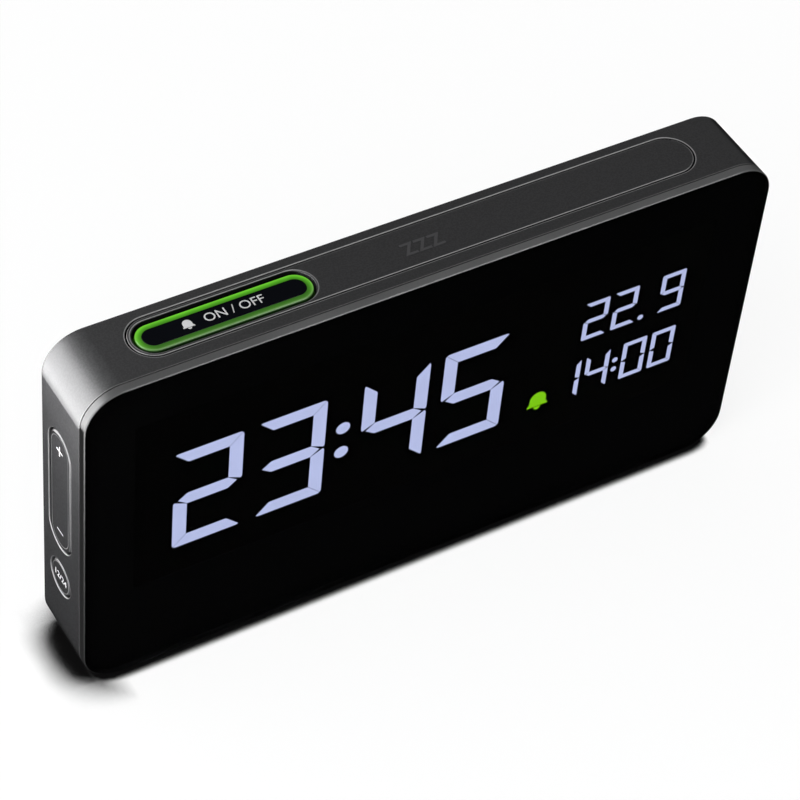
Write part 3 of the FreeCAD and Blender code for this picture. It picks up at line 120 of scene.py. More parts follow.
def length(name, description, millimetres):
    return bpy.props.FloatProperty(name=name, description=description, default=millimetres * MM,
                                   unit="LENGTH", precision=5)


def colour(name, description, value):
    return bpy.props.FloatVectorProperty(name=name, description=description, default=value,
                                         subtype="COLOR", size=3, min=0, max=1)


def factor(name, description, value):
    return bpy.props.FloatProperty(name=name, description=description, default=value,
                                   subtype="FACTOR", min=0, max=1)


class ClockDisplay(bpy.types.PropertyGroup):
    """What the display shows, and the size of its digits"""
    time: bpy.props.StringProperty(name="Time", description="Large digits", default="23:45")
    date: bpy.props.StringProperty(name="Date", description="Small upper digits", default="22. 9")
    alarm: bpy.props.StringProperty(name="Alarm time", description="Small lower digits", default="14:00")
    height: length("Height", "Height of the large digits", 35.3)
    width: length("Width", "Width of the large digits", 19.6)
    stroke: length("Stroke", "Width of a large segment", 3.95)
    pitch: length("Pitch", "From one large digit to the next", 24.0)
    small_height: length("Small height", "Height of the small digits", 13.8)
    small_width: length("Small width", "Width of the small digits", 7.6)
    small_stroke: length("Small stroke", "Width of a small segment", 1.42)
    small_pitch: length("Small pitch", "From one small digit to the next", 9.3)
    gap: length("Gap", "Dark line between two segments", 0.2)
    right: length("Right edge", "Right edge of the small digits, from the middle of the clock", 78.76)
    left: length("Left edge", "Left edge of the large digits, from the middle of the clock", -74.7)
    base: length("Base", "Foot of the large digits, above the table", 40.5)
    glow: colour("Glow", "Colour of the lit segments", (0.45, 0.5, 0.74))
    bell: colour("Bell", "Colour of the lit bell", (0.14, 0.4, 0.004))


class ClockFinish(bpy.types.PropertyGroup):
    """Colours and grain of the clock's surfaces"""
    case: colour("Case", "Moulded case and keys", (0.020, 0.020, 0.0208))
    rim: colour("Rim", "Front rim", (0.077, 0.077, 0.078))
    lens: colour("Lens", "Tint of the smoked lens", (0.16, 0.16, 0.165))
    mark: colour("Marks", "Printed signs on the keys", (0.5, 0.5, 0.52))
    gloss: factor("Gloss", "Mirror of the case and keys, seen straight on", 0.08)
    grain: length("Grain", "Size of the spark texture on the case", 0.5)
    roughness: factor("Roughness", "Roughness of the case", 0.476)
    # Pale colour of the painted highlight lines along the moulded edges
    edge: colour("Edges", "Polished lines along the moulded edges", (0.26, 0.26, 0.262))
    edge_gap: length("Edge gap", "Gap round the snooze bar and the rocker key", 0.35)


class ClockStage(bpy.types.PropertyGroup):
    """Camera, lamps and floor"""
    camera: bpy.props.FloatVectorProperty(name="Camera", description="Place of the camera", unit="LENGTH",
                                          default=(-0.3206, -0.4615, 0.6418))
    across: bpy.props.FloatVectorProperty(name="Across", description="Direction of the picture's right side",
                                          default=(0.8627, -0.50019, 0.07461))
    down: bpy.props.FloatVectorProperty(name="Down", description="Direction of the picture's lower side",
                                        default=(-0.32012, -0.65432, -0.68512))
    focal: bpy.props.FloatProperty(name="Focal length", description="Lens of the camera, in millimetres",
                                   default=138.68)
    floor: colour("Floor", "Colour of the floor", (0.8, 0.8, 0.8))
    paleness: factor("Paleness", "How far the floor's shadows fade into white", 0.75)
    # Reaches of the painted contact shadow on the floor
    contact: length("Contact", "How far the dark line reaches along the foot", 4.0)
    corner: length("Corner", "How far the soft shadow reaches at the left end of the foot", 13.0)
    sky: factor("Sky", "Strength of the light straight overhead", 0.14)


def settings(name):
    return getattr(bpy.context.scene, name)


# Meshes
def face_matrix(face, spot):
    """Matrix that lays a drawing out on a face, with its origin at a spot in metres."""
    across, up, out = FACES[face]
    return Matrix.Translation(Vector(spot)) @ Matrix((across, up, out)).transposed().to_4x4()


def new_piece(name, mesh, finish, body):
    """Object for a finished mesh, riding on a body."""
    piece = bpy.data.objects.new(name, mesh)
    bpy.context.scene.collection.objects.link(piece)
    if finish:
        mesh.materials.clear()
        mesh.materials.append(finish)
    if body:
        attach(piece, body)
    return piece


def slab(name, outlines, thickness, matrix):
    """Mesh of flat plates: each outline is a closed run of points, thickened outwards."""
    work = bmesh.new()
    for outline in outlines:
        base = [work.verts.new((across, up, 0)) for across, up in outline]
        lid = [work.verts.new((across, up, thickness)) for across, up in outline]
        work.faces.new(base[::-1])
        work.faces.new(lid)
        for index in range(len(outline)):
            other = (index + 1) % len(outline)
            work.faces.new((base[index], base[other], lid[other], lid[index]))
    bmesh.ops.recalc_face_normals(work, faces=work.faces)
    bmesh.ops.triangulate(work, faces=[face for face in work.faces if len(face.verts) > 4])
    work.transform(matrix)
    mesh = bpy.data.meshes.new(name)
    work.to_mesh(mesh)
    work.free()
    return mesh


def arc(middle, radius, start, end, steps=6):
    """Points along an arc, with angles in degrees."""
    turns = [math.radians(start + (end - start) * step / steps) for step in range(steps + 1)]
    return [(middle[0] + radius * math.cos(turn), middle[1] + radius * math.sin(turn)) for turn in turns]


def plain_mesh(holder, name):
    """Mesh of an object as its modifiers or its text leave it; the object itself is removed."""
    bpy.context.view_layer.update()
    mesh = bpy.data.meshes.new_from_object(holder.evaluated_get(bpy.context.evaluated_depsgraph_get()))
    bpy.data.objects.remove(holder)
    mesh.name = name
    return mesh


def lettering(name, text, size, thickness, matrix):
    """Mesh of a line of generic lettering, centred on the matrix's origin."""
    curve = bpy.data.curves.new(name, "FONT")
    curve.body = text
    curve.size = size
    curve.extrude = thickness / 2
    curve.align_x = "CENTER"
    curve.align_y = "CENTER"
    curve.resolution_u = 4
    holder = bpy.data.objects.new(name, curve)
    bpy.context.scene.collection.objects.link(holder)
    mesh = plain_mesh(holder, name)
    mesh.transform(matrix @ Matrix.Translation((0, 0, thickness / 2)))
    return mesh


def copy_tree(shapes):
    """Node tree that puts copies of some shapes on points, each with its own turn."""
    tree = bpy.data.node_groups.new("Copies on points", "GeometryNodeTree")
    tree.interface.new_socket("Points", in_out="INPUT", socket_type="NodeSocketGeometry")
    kinds = {shape: (shape, "NodeSocketObject") for shape in shapes}
    kinds["finish"] = ("Finish", "NodeSocketMaterial")
    sockets = {}
    for key, (label, kind) in kinds.items():
        sockets[key] = tree.interface.new_socket(label, in_out="INPUT", socket_type=kind).identifier
    tree.interface.new_socket("Geometry", in_out="OUTPUT", socket_type="NodeSocketGeometry")
    nodes, links = tree.nodes, tree.links
    entry, end = nodes.new("NodeGroupInput"), nodes.new("NodeGroupOutput")
    kind, turn = nodes.new("GeometryNodeInputNamedAttribute"), nodes.new("GeometryNodeInputNamedAttribute")
    kind.data_type, turn.data_type = "INT", "FLOAT_VECTOR"
    kind.inputs["Name"].default_value, turn.inputs["Name"].default_value = "kind", "turn"
    gather = nodes.new("GeometryNodeJoinGeometry")
    for index, shape in enumerate(shapes):
        same = nodes.new("FunctionNodeCompare")
        same.data_type, same.operation = "INT", "EQUAL"
        whole = [socket for socket in same.inputs if socket.type == "INT"]
        links.new(kind.outputs["Attribute"], whole[0])
        whole[1].default_value = index
        source = nodes.new("GeometryNodeObjectInfo")
        links.new(entry.outputs[shape], source.inputs["Object"])
        place = nodes.new("GeometryNodeInstanceOnPoints")
        links.new(entry.outputs["Points"], place.inputs["Points"])
        links.new(same.outputs["Result"], place.inputs["Selection"])
        links.new(source.outputs["Geometry"], place.inputs["Instance"])
        links.new(turn.outputs["Attribute"], place.inputs["Rotation"])
        links.new(place.outputs["Instances"], gather.inputs["Geometry"])
    real, dress = nodes.new("GeometryNodeRealizeInstances"), nodes.new("GeometryNodeSetMaterial")
    links.new(gather.outputs["Geometry"], real.inputs["Geometry"])
    links.new(real.outputs["Geometry"], dress.inputs["Geometry"])
    links.new(entry.outputs["Finish"], dress.inputs["Material"])
    links.new(dress.outputs["Geometry"], end.inputs["Geometry"])
    return tree, sockets


def copies(name, shapes, points, finish):
    """Plain mesh of shapes copied to points: each point is a place, a shape's name and a turn."""
    holders = {shape: bpy.data.objects.new(shape, mesh) for shape, mesh in shapes.items()}
    for holder in holders.values():
        bpy.context.scene.collection.objects.link(holder)
    spots = bpy.data.meshes.new(name)
    spots.from_pydata([place for place, shape, turn in points], [], [])
    order = list(shapes)
    spots.attributes.new("kind", "INT", "POINT").data.foreach_set(
        "value", [order.index(shape) for place, shape, turn in points])
    spots.attributes.new("turn", "FLOAT_VECTOR", "POINT").data.foreach_set(
        "vector", [angle for place, shape, turn in points for angle in turn])
    carrier = bpy.data.objects.new(name, spots)
    bpy.context.scene.collection.objects.link(carrier)
    tree, sockets = copy_tree(order)
    modifier = carrier.modifiers.new("Copies", "NODES")
    modifier.node_group = tree
    for shape in order:
        modifier[sockets[shape]] = holders[shape]
    modifier[sockets["finish"]] = finish
    mesh = plain_mesh(carrier, name)
    for holder in holders.values():
        bpy.data.objects.remove(holder)
    return mesh


# Finishes
def blank_finish(name):
    """New material, its tree and its main shader."""
    finish = bpy.data.materials.new(name)
    finish.use_nodes = True
    return finish, finish.node_tree, finish.node_tree.nodes["Principled BSDF"]


def noise(tree, size, detail=2.0):
    """Noise in the object's own space, with grains of about the given size in metres."""
    place = tree.nodes.new("ShaderNodeTexCoord")
    field = tree.nodes.new("ShaderNodeTexNoise")
    field.inputs["Scale"].default_value = 1 / size
    field.inputs["Detail"].default_value = detail
    tree.links.new(place.outputs["Object"], field.inputs["Vector"])
    return field.outputs["Fac"]


def calculate(tree, operation, *values):
    """Result of a sum on plugs or plain numbers."""
    node = tree.nodes.new("ShaderNodeMath")
    node.operation = operation
    for plug, value in zip(node.inputs, values):
        if isinstance(value, (int, float)):
            plug.default_value = value
        else:
            tree.links.new(value, plug)
    return node.outputs["Value"]


def span(tree, value, start, end, low=0.0, high=1.0):
    """Number that goes from low to high while a value goes from start to end."""
    node = tree.nodes.new("ShaderNodeMapRange")
    for name, limit in (("From Min", start), ("From Max", end), ("To Min", low), ("To Max", high)):
        node.inputs[name].default_value = limit
    tree.links.new(value, node.inputs["Value"])
    return node.outputs["Result"]


def between(tree, value, low, high):
    """Number that follows a noise between two limits."""
    return span(tree, value, 0.3, 0.7, low, high)


def object_place(tree):
    """Plugs for the place of a point on the clock, by the names of its axes."""
    place, split = tree.nodes.new("ShaderNodeTexCoord"), tree.nodes.new("ShaderNodeSeparateXYZ")
    tree.links.new(place.outputs["Object"], split.inputs["Vector"])
    return split.outputs


def mixed(tree, share, one, other):
    """Colour between two colours, each a plug or a plain colour."""
    mix = tree.nodes.new("ShaderNodeMix")
    mix.data_type = "RGBA"
    plugs = [socket for socket in mix.inputs if socket.type == "RGBA"]
    for plug, shade in zip(plugs, (one, other)):
        if isinstance(shade, bpy.types.NodeSocket):
            tree.links.new(shade, plug)
        else:
            plug.default_value = (*shade, 1)
    tree.links.new(share, mix.inputs["Factor"])
    return next(socket for socket in mix.outputs if socket.type == "RGBA")


def ramp(tree, value, stops):
    """Colour that runs through stops of a place from 0 to 1 and a colour."""
    node = tree.nodes.new("ShaderNodeValToRGB")
    elements = node.color_ramp.elements
    while len(elements) < len(stops):
        elements.new(0.5)
    for element, (place, shade) in zip(elements, stops):
        element.position = place
        element.color = (*shade, 1)
    tree.links.new(value, node.inputs["Fac"])
    return node.outputs["Color"]


def roughen(tree, shader, value, depth):
    """Bump of the given depth in metres from a noise."""
    bump = tree.nodes.new("ShaderNodeBump")
    bump.inputs["Strength"].default_value = 1.0
    bump.inputs["Distance"].default_value = depth
    tree.links.new(value, bump.inputs["Height"])
    tree.links.new(bump.outputs["Normal"], shader.inputs["Normal"])


def moulded(name, shade, roughness, grain, depth, gloss=0.5, spread=0.12, spark=0.0):
    """Moulded plastic: fine spark texture, with a faint drift of colour and sheen."""
    finish, tree, shader = blank_finish(name)
    fine = noise(tree, grain, 3)
    value = between(tree, noise(tree, 0.02), 0, 1)
    if spark:
        sparks = between(tree, fine, -spark / spread, 1 + spark / spread)
        value = calculate(tree, "MULTIPLY", calculate(tree, "ADD", value, sparks), 0.5)
    pale = [min(1, channel * (1 + spread)) for channel in shade]
    deep = [channel * (1 - spread) for channel in shade]
    tree.links.new(mixed(tree, value, deep, pale), shader.inputs["Base Color"])
    tree.links.new(between(tree, fine, roughness - 0.05, roughness + 0.05), shader.inputs["Roughness"])
    shader.inputs["Specular IOR Level"].default_value = gloss
    roughen(tree, shader, fine, depth)
    return finish


def fade_gloss(finish, end, least=0):
    """Lets a finish's gloss weaken as it turns away, to its least at a share of the turn, then to nought."""
    tree = finish.node_tree
    plug = tree.nodes["Principled BSDF"].inputs["Specular IOR Level"]
    gloss = plug.default_value
    view = tree.nodes.new("ShaderNodeLayerWeight")
    view.inputs["Blend"].default_value = 0.5
    steps = ((FULL_GLOSS, gloss), (end, least), (end + 0.05, least), (end + 0.09, 0))
    level = ramp(tree, view.outputs["Facing"], [(place, (value, value, value)) for place, value in steps])
    tree.links.new(level, plug)


def outline_distance(tree, low, high, along, across):
    """Distance out from the round-ended outline that fills a box, along and across on the named axes."""
    place = object_place(tree)
    middle, half = (low + high) / 2, (high - low) / 2
    run, width = "XYZ".index(along), "XYZ".index(across)
    offset = calculate(tree, "ABSOLUTE", calculate(tree, "SUBTRACT", place[along], middle[run]))
    beyond = calculate(tree, "MAXIMUM", calculate(tree, "SUBTRACT", offset, half[run] - half[width]), 0.0)
    join, reach = tree.nodes.new("ShaderNodeCombineXYZ"), tree.nodes.new("ShaderNodeVectorMath")
    reach.operation = "LENGTH"
    tree.links.new(beyond, join.inputs["X"])
    tree.links.new(calculate(tree, "SUBTRACT", place[across], middle[width]), join.inputs["Y"])
    tree.links.new(join.outputs["Vector"], reach.inputs[0])
    return calculate(tree, "SUBTRACT", reach.outputs["Value"], half[width])


def fine_line(tree, distance, middle, strength, width=0.4 * MM):
    """Number that peaks on a fine line at a distance."""
    off = calculate(tree, "ABSOLUTE", calculate(tree, "SUBTRACT", distance, middle))
    return span(tree, off, width / 2, 0, 0, strength)


def top_highlight_line(tree, low, high, middle, front, rear):
    """Painted highlight line along a round-ended outline on the top, with its strengths in front and behind.
    """
    line = fine_line(tree, outline_distance(tree, low, high, "X", "Y"), middle, 1)
    place = object_place(tree)
    side = span(tree, place["Y"], low.y, high.y, front, rear)
    near = span(tree, place["Z"], high.z - 0.2 * MM, high.z - 0.05 * MM)
    return calculate(tree, "MULTIPLY", calculate(tree, "MULTIPLY", line, side), near)


def rear_painted_shade(tree, low, high, middle, width):
    """Mask of painted shade: one along the rear run of a round-ended outline on the left side."""
    band = fine_line(tree, outline_distance(tree, low, high, "Z", "Y"), middle, 1.5, width)
    axis = (low.y + high.y) / 2
    rear = span(tree, object_place(tree)["Y"], axis + 2 * MM, axis + 4 * MM)
    return calculate(tree, "MULTIPLY", band, rear)


def side_highlight_line(tree, low, high, middle, foot, head):
    """Painted highlight line along a round-ended outline on the left side, with its strengths at foot and
    head.
    """
    line = fine_line(tree, outline_distance(tree, low, high, "Z", "Y"), middle, 1)
    place = object_place(tree)
    side = span(tree, place["Z"], low.z, (low.z + high.z) / 2, foot, head)
    near = span(tree, place["X"], low.x + 0.6 * MM, low.x + 0.3 * MM)
    return calculate(tree, "MULTIPLY", calculate(tree, "MULTIPLY", line, side), near)


def top_wall_shade(tree, low, high, middle):
    """Mask of painted shade: one on the wall under a top outline, below its edge."""
    near = fine_line(tree, outline_distance(tree, low, high, "X", "Y"), middle, 4, 0.6 * MM)
    deep = span(tree, object_place(tree)["Z"], high.z - 0.2 * MM, high.z - 0.35 * MM)
    return calculate(tree, "MULTIPLY", near, deep)


def paint_gap_shade_and_edge_highlights(finish, shaded_walls, lines, shade):
    """Painted shade on the walls in the gaps, and paler, painted highlight lines along the moulded edges."""
    tree = finish.node_tree
    base = tree.nodes["Principled BSDF"].inputs["Base Color"]
    # Near-black painted shade on the walls, then pale painted highlights on the lines
    for parts, painted_tone in ((shaded_walls, (0.002, 0.002, 0.002)), (lines, shade)):
        total = parts[0]
        for part in parts[1:]:
            total = calculate(tree, "MAXIMUM", total, part)
        tree.links.new(mixed(tree, total, base.links[0].from_socket, painted_tone), base)


def metal(name, shade, roughness, grain=0.0004):
    """Plated metal with fine scratches."""
    finish, tree, shader = blank_finish(name)
    fine = noise(tree, grain, 3)
    deep = [channel * 0.8 for channel in shade]
    tree.links.new(mixed(tree, between(tree, fine, 0, 1), deep, shade), shader.inputs["Base Color"])
    tree.links.new(between(tree, fine, roughness - 0.06, roughness + 0.06), shader.inputs["Roughness"])
    shader.inputs["Metallic"].default_value = 1
    return finish


def lit(name, shade, strength, drift=0.06):
    """Surface that shines by itself, with a faint unevenness."""
    finish, tree, shader = blank_finish(name)
    deep = [channel * (1 - drift) for channel in shade]
    glow = mixed(tree, between(tree, noise(tree, 0.008), 0, 1), deep, shade)
    tree.links.new(glow, shader.inputs["Emission Color"])
    shader.inputs["Base Color"].default_value = (0.01, 0.01, 0.01, 1)
    shader.inputs["Emission Strength"].default_value = strength
    shader.inputs["Roughness"].default_value = 0.6
    return finish


def smoked_lens(tint):
    """Smoked clear plastic with a coat that hardly mirrors the room."""
    finish, tree, shader = blank_finish("Smoked lens")
    drift = between(tree, noise(tree, 0.05), 0, 1)
    deep = [channel * 0.97 for channel in tint]
    tree.links.new(mixed(tree, drift, deep, tint), shader.inputs["Base Color"])
    shader.inputs["Transmission Weight"].default_value = 1
    shader.inputs["Roughness"].default_value = 0
    shader.inputs["IOR"].default_value = 1.025
    return finish


def satin_rim(shade):
    """Satin plastic with painted shade: its sides are painted darker than its upper run, and its back edge
    has a painted dark seam line.
    """
    finish = moulded("Satin rim", shade, 0.35, 0.0012, 0.000001, gloss=0.06)
    fade_gloss(finish, RIM_SLANT)
    tree = finish.node_tree
    base = tree.nodes["Principled BSDF"].inputs["Base Color"]
    place = object_place(tree)
    height = span(tree, place["Z"], cad_high.z - 8 * MM, cad_high.z - 1 * MM)
    # Painted shade: the rim's sides are painted darker than its lit upper run
    dark = [channel * 0.27 for channel in shade]
    outer = mixed(tree, height, dark, base.links[0].from_socket)
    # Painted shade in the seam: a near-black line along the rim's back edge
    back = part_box("housing")[0].y - 0.3 * MM
    seam = span(tree, place["Y"], back - 0.05 * MM, back + 0.05 * MM)
    tree.links.new(mixed(tree, seam, outer, (0.001, 0.001, 0.001)), base)
    return finish


def light_ring(low, high, width):
    """Frosted green plastic, lit from below: its light follows the ring round, from edge to edge, with
    painted shade on its front run and a painted highlight near that run's outer edge.
    """
    finish, tree, shader = blank_finish("Lit green ring")
    half = (high.y - low.y) / 2
    across = span(tree, outline_distance(tree, low, high, "X", "Y"), -width, 0)
    side = span(tree, object_place(tree)["Y"], low.y + 0.1 * half, low.y + 1.5 * half)
    # The front run's glow is painted darker than the rear's: painted shade and a painted highlight over the
    # real glow
    light = mixed(tree, side, *(ramp(tree, across, RING_GLOW_AND_PAINTED_SHADE[run]) for run in ("front", "rear")))
    depth = span(tree, object_place(tree)["Z"], high.z - 0.5 * MM, high.z - 0.1 * MM, 0.06, 1)
    haze = between(tree, noise(tree, 0.004), 0.92, 1.08)
    tree.links.new(light, shader.inputs["Emission Color"])
    tree.links.new(calculate(tree, "MULTIPLY", depth, haze), shader.inputs["Emission Strength"])
    shader.inputs["Base Color"].default_value = (0.004, 0.02, 0.002, 1)
    shader.inputs["Roughness"].default_value = 0.3
    shader.inputs["Specular IOR Level"].default_value = 0.08
    fade_gloss(finish, TOP_SLANT)
    return finish


def grown(node, reach, axes):
    """Low and high corners of a CAD node's box, pushed out along some axes."""
    low, high = (Vector(corner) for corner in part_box(node))
    step = Vector([reach if axis in axes else 0 for axis in "XYZ"])
    return low - step, high + step


def dress(node, finish):
    """Gives a CAD node its finish."""
    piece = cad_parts[node]
    piece.data.materials.clear()
    piece.data.materials.append(finish)


class CLOCK_OT_case(bpy.types.Operator):
    """Finish the case, the rim, the lens, the keys and the feet"""
    bl_idname = "clock.case"
    bl_label = "Case and keys"

    def execute(self, context):
        look = settings("clock_finish")
        case = moulded("Spark-grained case", look.case, look.roughness, look.grain, 0.03 * MM,
                       gloss=look.gloss, spark=0.7)
        keys = moulded("Spark-grained keys", look.case, look.roughness - 0.03, look.grain, 0.03 * MM,
                       gloss=look.gloss, spark=0.7)
        self.paint_edge_light(look, case, keys)
        for finish in (case, keys):
            fade_gloss(finish, CASE_SLANT, LEAST_GLOSS)
        for node in ("housing", "rear_cover", "battery_door"):
            dress(node, case)
        for node in ("snooze_bar", "rocker_button", "format_button", "time_set_button",
                     "alarm_set_button", "date_set_button"):
            dress(node, keys)
        dress("front_rim", satin_rim(look.rim))
        dress("front_lens", smoked_lens(look.lens))
        low, high = grown("alarm_button", LIGHT_RING, "XY")
        dress("alarm_light_ring", light_ring(low, high, LIGHT_RING))
        cap = moulded("Gloss black cap", (0.0008, 0.0012, 0.0026), 0.16, 0.003, 0.000002, gloss=0.02)
        fade_gloss(cap, TOP_SLANT)
        dress("alarm_button", cap)
        rubber = moulded("Foot rubber", (0.02, 0.02, 0.02), 0.8, 0.0006, 0.00003)
        dress("foot_left", rubber)
        dress("foot_right", rubber)
        return {"FINISHED"}

    def paint_edge_light(self, look, case, keys):
        """Painted highlight lines along the edges of the keys and their windows, and of the case beside the
        rim, with painted shade on the walls of the gaps.
        """
        bar = grown("snooze_bar", -BAR_CATCH, "X")
        ring = grown("alarm_button", LIGHT_RING, "XY")
        rocker = grown("rocker_button", 0, "YZ")
        hour_key = grown("format_button", -HOUR_CATCH, "YZ")
        gap = look.edge_gap
        tree = case.node_tree
        seam = calculate(tree, "SUBTRACT", object_place(tree)["Y"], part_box("housing")[0].y)
        # Painted shade on the wall of the bar's window, and painted highlight lines along the case's edges
        paint_gap_shade_and_edge_highlights(case, [top_wall_shade(tree, *bar, gap)], [
            top_highlight_line(tree, *bar, gap + 0.2 * MM, 0.8, 1),
            side_highlight_line(tree, *rocker, gap + 0.15 * MM, 1, 0.5),
            side_highlight_line(tree, *hour_key, gap + 0.15 * MM, 1, 0.5),
            fine_line(tree, seam, 0.12 * MM, 0.3),
        ], look.edge)
        tree = keys.node_tree
        ring[1].z = bar[1].z
        # Painted shade on the gap walls and the rocker's rear run, and painted highlight lines along the
        # keys' edges
        shaded_walls = [top_wall_shade(tree, *bar, 0), top_wall_shade(tree, *ring, ALARM_GAP),
                 rear_painted_shade(tree, *rocker, -0.75 * MM, 1.2 * MM)]
        paint_gap_shade_and_edge_highlights(keys, shaded_walls, [
            top_highlight_line(tree, *bar, -0.13 * MM, 1, 0.4),
            top_highlight_line(tree, *ring, ALARM_GAP + 0.13 * MM, 0.5, 1),
            side_highlight_line(tree, *rocker, -1.35 * MM, 1, 0.5),
            side_highlight_line(tree, *hour_key, -0.75 * MM, 1, 0.5),
        ], look.edge)


class CLOCK_OT_inner(bpy.types.Operator):
    """Finish the display module, the boards, the power parts and the metal parts"""
    bl_idname = "clock.inner"
    bl_label = "Inner pieces"

    def execute(self, context):
        black = moulded("Black moulding", (0.006, 0.006, 0.006), 0.5, 0.0005, 0.00001)
        mask = moulded("Matt black mask", (0.0006, 0.0006, 0.0006), 0.7, 0.0005, 0.000005, gloss=0)
        film = moulded("White film", (0.8, 0.8, 0.8), 0.5, 0.002, 0.000002)
        board = moulded("Green circuit board", (0.01, 0.13, 0.05), 0.35, 0.0015, 0.000004, spread=0.3)
        steel = metal("Plated steel", (0.55, 0.55, 0.56), 0.3)
        spring = metal("Nickel spring steel", (0.62, 0.6, 0.56), 0.22)
        finishes = {
            black: ("control_chip", "top_switches", "side_switches", "set_switches", "supply_inlet"),
            mask: ("display_frame", "display_glass"),
            film: ("diffuser_film", "light_guide", "reflector_film", "lamp_strip", "alarm_lamps"),
            board: ("main_board", "top_board", "side_board"),
            steel: ("board_screws", "clock_crystal", "speaker"),
            metal("Blackened pin", (0.02, 0.02, 0.021), 0.5): ("rocker_pin",),
            spring: ("snooze_springs", "battery_contacts"),
            moulded("Contact rubber", (0.6, 0.3, 0.34), 0.7, 0.0006, 0.00001):
                ("contact_strip_top", "contact_strip_bottom"),
            moulded("Ribbon film", (0.75, 0.75, 0.78), 0.4, 0.001, 0.000002):
                ("top_ribbon", "side_ribbon", "ribbon_sockets"),
            moulded("Cell sleeve", (0.02, 0.05, 0.16), 0.25, 0.003, 0.000002):
                ("battery_cell_1", "battery_cell_2", "battery_cell_3"),
        }
        for finish, nodes in finishes.items():
            for node in nodes:
                dress(node, finish)
        return {"FINISHED"}


def segment_meshes(width, height, stroke, gap):
    """Plates for the three shapes of a segment, round the middle of their digit."""
    edge, top, slit = width / 2, height / 2, gap / 2
    inner, under = edge - stroke, top - stroke
    round_off = stroke * 0.28
    tip = edge - stroke * 0.34
    corner = (edge - round_off, top - round_off)
    cap = [(across - slit, up) for across, up in arc(corner, round_off, 45, 90, 3)]
    cap += [(-across, up) for across, up in cap[::-1]]
    cap += [(-inner + slit, under), (inner - slit, under)]
    side = [(inner, under - slit)]
    side += [(across, up - slit) for across, up in arc(corner, round_off, 45, 0, 3)]
    side += arc((edge - round_off, round_off + slit), round_off, 0, -50, 3)
    side += [(inner, stroke / 2 + slit)]
    bar = [(inner - slit, stroke / 2), (-inner + slit, stroke / 2), (-tip + slit, 0),
           (-inner + slit, -stroke / 2), (inner - slit, -stroke / 2), (tip - slit, 0)]
    flat = face_matrix("front", (0, PLATE / 2, 0))
    shapes = {"cap": cap, "side": side, "bar": bar}
    return {name: slab(name, [shape], PLATE, flat) for name, shape in shapes.items()}


def advance(sign, pitch, stroke):
    """How far a sign moves the next one on."""
    if sign in LIT:
        return pitch
    return 2.25 * stroke if sign == " " else 1.52 * stroke + 0.4 * MM


def lay_out_digits(text, left, base, sizes, level):
    """Points for the copies of a row of digits, and the places of its dots."""
    width, height, pitch, stroke = sizes
    points, dots = [], []
    for sign in text:
        middle = Vector((left + width / 2, level, base + height / 2))
        beside = left - pitch + width + 1.28 * stroke + 0.2 * MM
        if sign in LIT:
            points += [(middle, *SHAPES[place]) for place in LIT[sign].split()]
        if sign == ":":
            dots += [(beside, level, base + height / 2 + step * 0.128 * height) for step in (1, -1)]
        if sign == ".":
            dots.append((beside, level, base + 0.6 * stroke))
        left += advance(sign, pitch, stroke)
    return points, dots


def row_length(text, pitch, width, stroke):
    """Length of a row of digits, from the first cell to the last one's edge."""
    return sum(advance(sign, pitch, stroke) for sign in text) - (pitch - width)


def disc(diameter, steps=24):
    """Outline of a round dot."""
    return arc((0, 0), diameter / 2, 0, 360 - 360 / steps, steps - 1)


def bell_outlines(size):
    """Outlines of a bell with its clapper, of the given height, on its own foot."""
    dome = arc((0, 0.62 * size), 0.36 * size, 0, 180, 14)
    left_side = [(-0.37 * size, 0.4 * size), (-0.46 * size, 0.3 * size), (-0.46 * size, 0.24 * size)]
    right_side = [(-across, up) for across, up in left_side[::-1]]
    clapper = arc((0, 0.2 * size), 0.15 * size, 180, 360, 8)
    return [dome + left_side + right_side, clapper]


class CLOCK_OT_display(bpy.types.Operator):
    """Make the lit segments, dots and bell on the display glass"""
    bl_idname = "clock.display"
    bl_label = "Lit display"

    def execute(self, context):
        look = settings("clock_display")
        low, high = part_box("display_glass")
        level = low.y - 0.05 * MM
        glow = lit("Lit segments", look.glow, 6.6)
        large = (look.width, look.height, look.pitch, look.stroke)
        small = (look.small_width, look.small_height, look.small_pitch, look.small_stroke)
        top = look.base + look.height - look.small_height
        rows = {
            "time_digits": (look.time, look.left, look.base, large),
            "date_digits": (look.date, None, top, small),
            "alarm_digits": (look.alarm, None, look.base, small),
        }
        for name, (text, left, base, sizes) in rows.items():
            width, height, pitch, stroke = sizes
            if left is None:
                left = look.right - row_length(text, pitch, width, stroke)
            points, dots = lay_out_digits(text, left, base, sizes, level)
            gap, dot_size = (look.gap, 1.04) if sizes is large else (0.6 * look.gap, 1.25)
            shapes = segment_meshes(width, height, stroke, gap)
            shapes["dot"] = slab("dot", [disc(dot_size * stroke)], PLATE,
                                 face_matrix("front", (0, PLATE / 2, 0)))
            points += [(dot, "dot", (0, 0, 0)) for dot in dots]
            piece = new_piece(name, copies(name, shapes, points, glow), None, "clock_body")
        bell_across, bell_height = 35.5 * MM, 7.1 * MM
        foot = (bell_across, low.y - 0.03 * MM, look.base + 0.1 * MM)
        bell = slab("bell_sign", bell_outlines(bell_height), PLATE, face_matrix("front", foot))
        new_piece("bell_sign", bell, lit("Lit bell", look.bell, 9.0), "clock_body")
        return {"FINISHED"}


def cross_outline(reach, half):
    """Outline of a plus sign."""
    return [(half, half), (half, reach), (-half, reach), (-half, half), (-reach, half), (-reach, -half),
            (-half, -half), (-half, -reach), (half, -reach), (half, -half), (reach, -half), (reach, half)]


